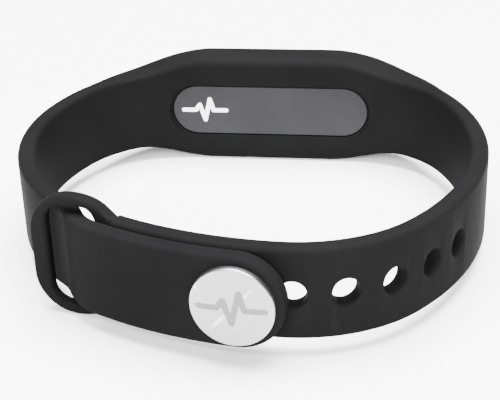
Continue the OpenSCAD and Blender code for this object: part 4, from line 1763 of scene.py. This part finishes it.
@dataclass
class Studio:
    """A pale floor, soft light and the camera.

    Attributes:
        middle: Middle of the object at floor level.
        camera_spot: Where the camera stands.
        tilt: How far it looks down, in radians.
        turn: How far it turns to its right, in radians.
        roll: How far it leans, in radians.
        lens: Focal length in millimetres on a 36 mm sensor.
        floor_side: Length of the floor's side.
        air: Strength of the light from all round.
        front_power: Power of the front light in watts.
        top_power: Power of the top light in watts.
    """

    middle: Vector
    camera_spot: Vector = field(default_factory=lambda: Vector((23.84, -159.24, 84.69)) * MM)
    tilt: float = 0.4546
    turn: float = -0.1486
    roll: float = -0.0343
    lens: float = 85.89
    floor_side: float = 2.4
    air: float = 0.5
    front_power: float = 11.0
    top_power: float = 42.0

    def build_floor(self) -> None:
        """Lays a plain pale floor."""
        clear_selection()
        bpy.ops.mesh.primitive_plane_add(size=self.floor_side, location=(self.middle.x, self.middle.y, 0.0))
        floor = bpy.context.object
        floor.name = floor.data.name = "studio_floor"
        material = bpy.data.materials.new("pale_floor")
        material.use_nodes = True
        shader = material.node_tree.nodes["Principled BSDF"]
        shader.inputs["Base Color"].default_value = (0.93, 0.93, 0.93, 1.0)
        shader.inputs["Roughness"].default_value = 0.9
        shader.inputs["Specular IOR Level"].default_value = 0.1
        floor.data.materials.append(material)

    def add_light(self, name: str, spot: Vector, aim: Vector, size: float, power: float) -> None:
        """Adds a soft square light.

        Args:
            name: Its name.
            spot: Where it hangs.
            aim: What it points at.
            size: Length of its side.
            power: Its power in watts.
        """
        light = bpy.data.lights.new(name, "AREA")
        light.shape, light.size, light.energy = "SQUARE", size, power
        lamp = bpy.data.objects.new(name, light)
        lamp.location = spot
        lamp.rotation_euler = (spot - aim).to_track_quat("Z", "Y").to_euler()
        bpy.context.scene.collection.objects.link(lamp)

    def build_light(self) -> None:
        """Sets the soft studio light."""
        world = bpy.context.scene.world or bpy.data.worlds.new("studio_air")
        bpy.context.scene.world = world
        world.use_nodes = True
        air = world.node_tree.nodes["Background"]
        air.inputs["Color"].default_value = (1.0, 1.0, 1.0, 1.0)
        air.inputs["Strength"].default_value = self.air
        aim = self.middle + Vector((0.0, 0.0, 9 * MM))
        self.add_light("front_light", aim + Vector((-0.05, -0.5, 0.3)), aim, 0.35, self.front_power)
        self.add_light("top_light", aim + Vector((0.05, 0.06, 0.6)), aim, 0.6, self.top_power)

    def build_camera(self) -> None:
        """Sets the camera at its viewing angle, in front of the stud and above it."""
        forward = Vector(
            (
                math.sin(self.turn) * math.cos(self.tilt),
                math.cos(self.turn) * math.cos(self.tilt),
                -math.sin(self.tilt),
            )
        )
        level = Vector((math.cos(self.turn), -math.sin(self.turn), 0.0))
        upright = level.cross(forward)
        right = level * math.cos(self.roll) + upright * math.sin(self.roll)
        up = upright * math.cos(self.roll) - level * math.sin(self.roll)
        lens = bpy.data.cameras.new("camera")
        lens.lens = self.lens
        lens.sensor_width = 36.0
        lens.clip_start = 0.01
        camera = bpy.data.objects.new("camera", lens)
        turned = Matrix((right, up, -forward)).transposed().to_4x4()
        camera.matrix_world = Matrix.Translation(self.camera_spot) @ turned
        bpy.context.scene.collection.objects.link(camera)
        bpy.context.scene.camera = camera

    def build(self) -> None:
        """Builds the whole studio."""
        self.build_floor()
        self.build_light()
        self.build_camera()


# ---- Making ------------------------------------------------------------------------------------------


def main() -> None:
    """Builds the tracker in order."""
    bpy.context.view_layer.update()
    low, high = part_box("pod_lower_housing")
    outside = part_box("pod_top_cover")[1][1]
    depth = TrackerPod.depth + TrackerPod.cover_out
    origin = Vector(((low[0] + high[0]) / 2, outside - depth, (low[2] + high[2]) / 2))
    pod = TrackerPod(Matrix.Translation(origin) @ Matrix.Rotation(-math.pi / 2, 4, "X"))
    layout = BandLayout(BandSizes(), origin)
    stud = Stud(layout)
    shelf = FinishShelf(pod.frame, stud.matrix)
    SiliconeBand(layout, pod.frame).dress(shelf.silicone)
    stud.dress(shelf.stud_metal, shelf.inner()["stud_washer"])
    pod.dress(shelf.plate, shelf.pod_black, shelf.cover_metal)
    shelf.dress_inner(frame["nodes"])
    Studio(Vector((origin.x, 0.0, 0.0))).build()
    clear_selection()


if __name__ == "__main__":
    main()
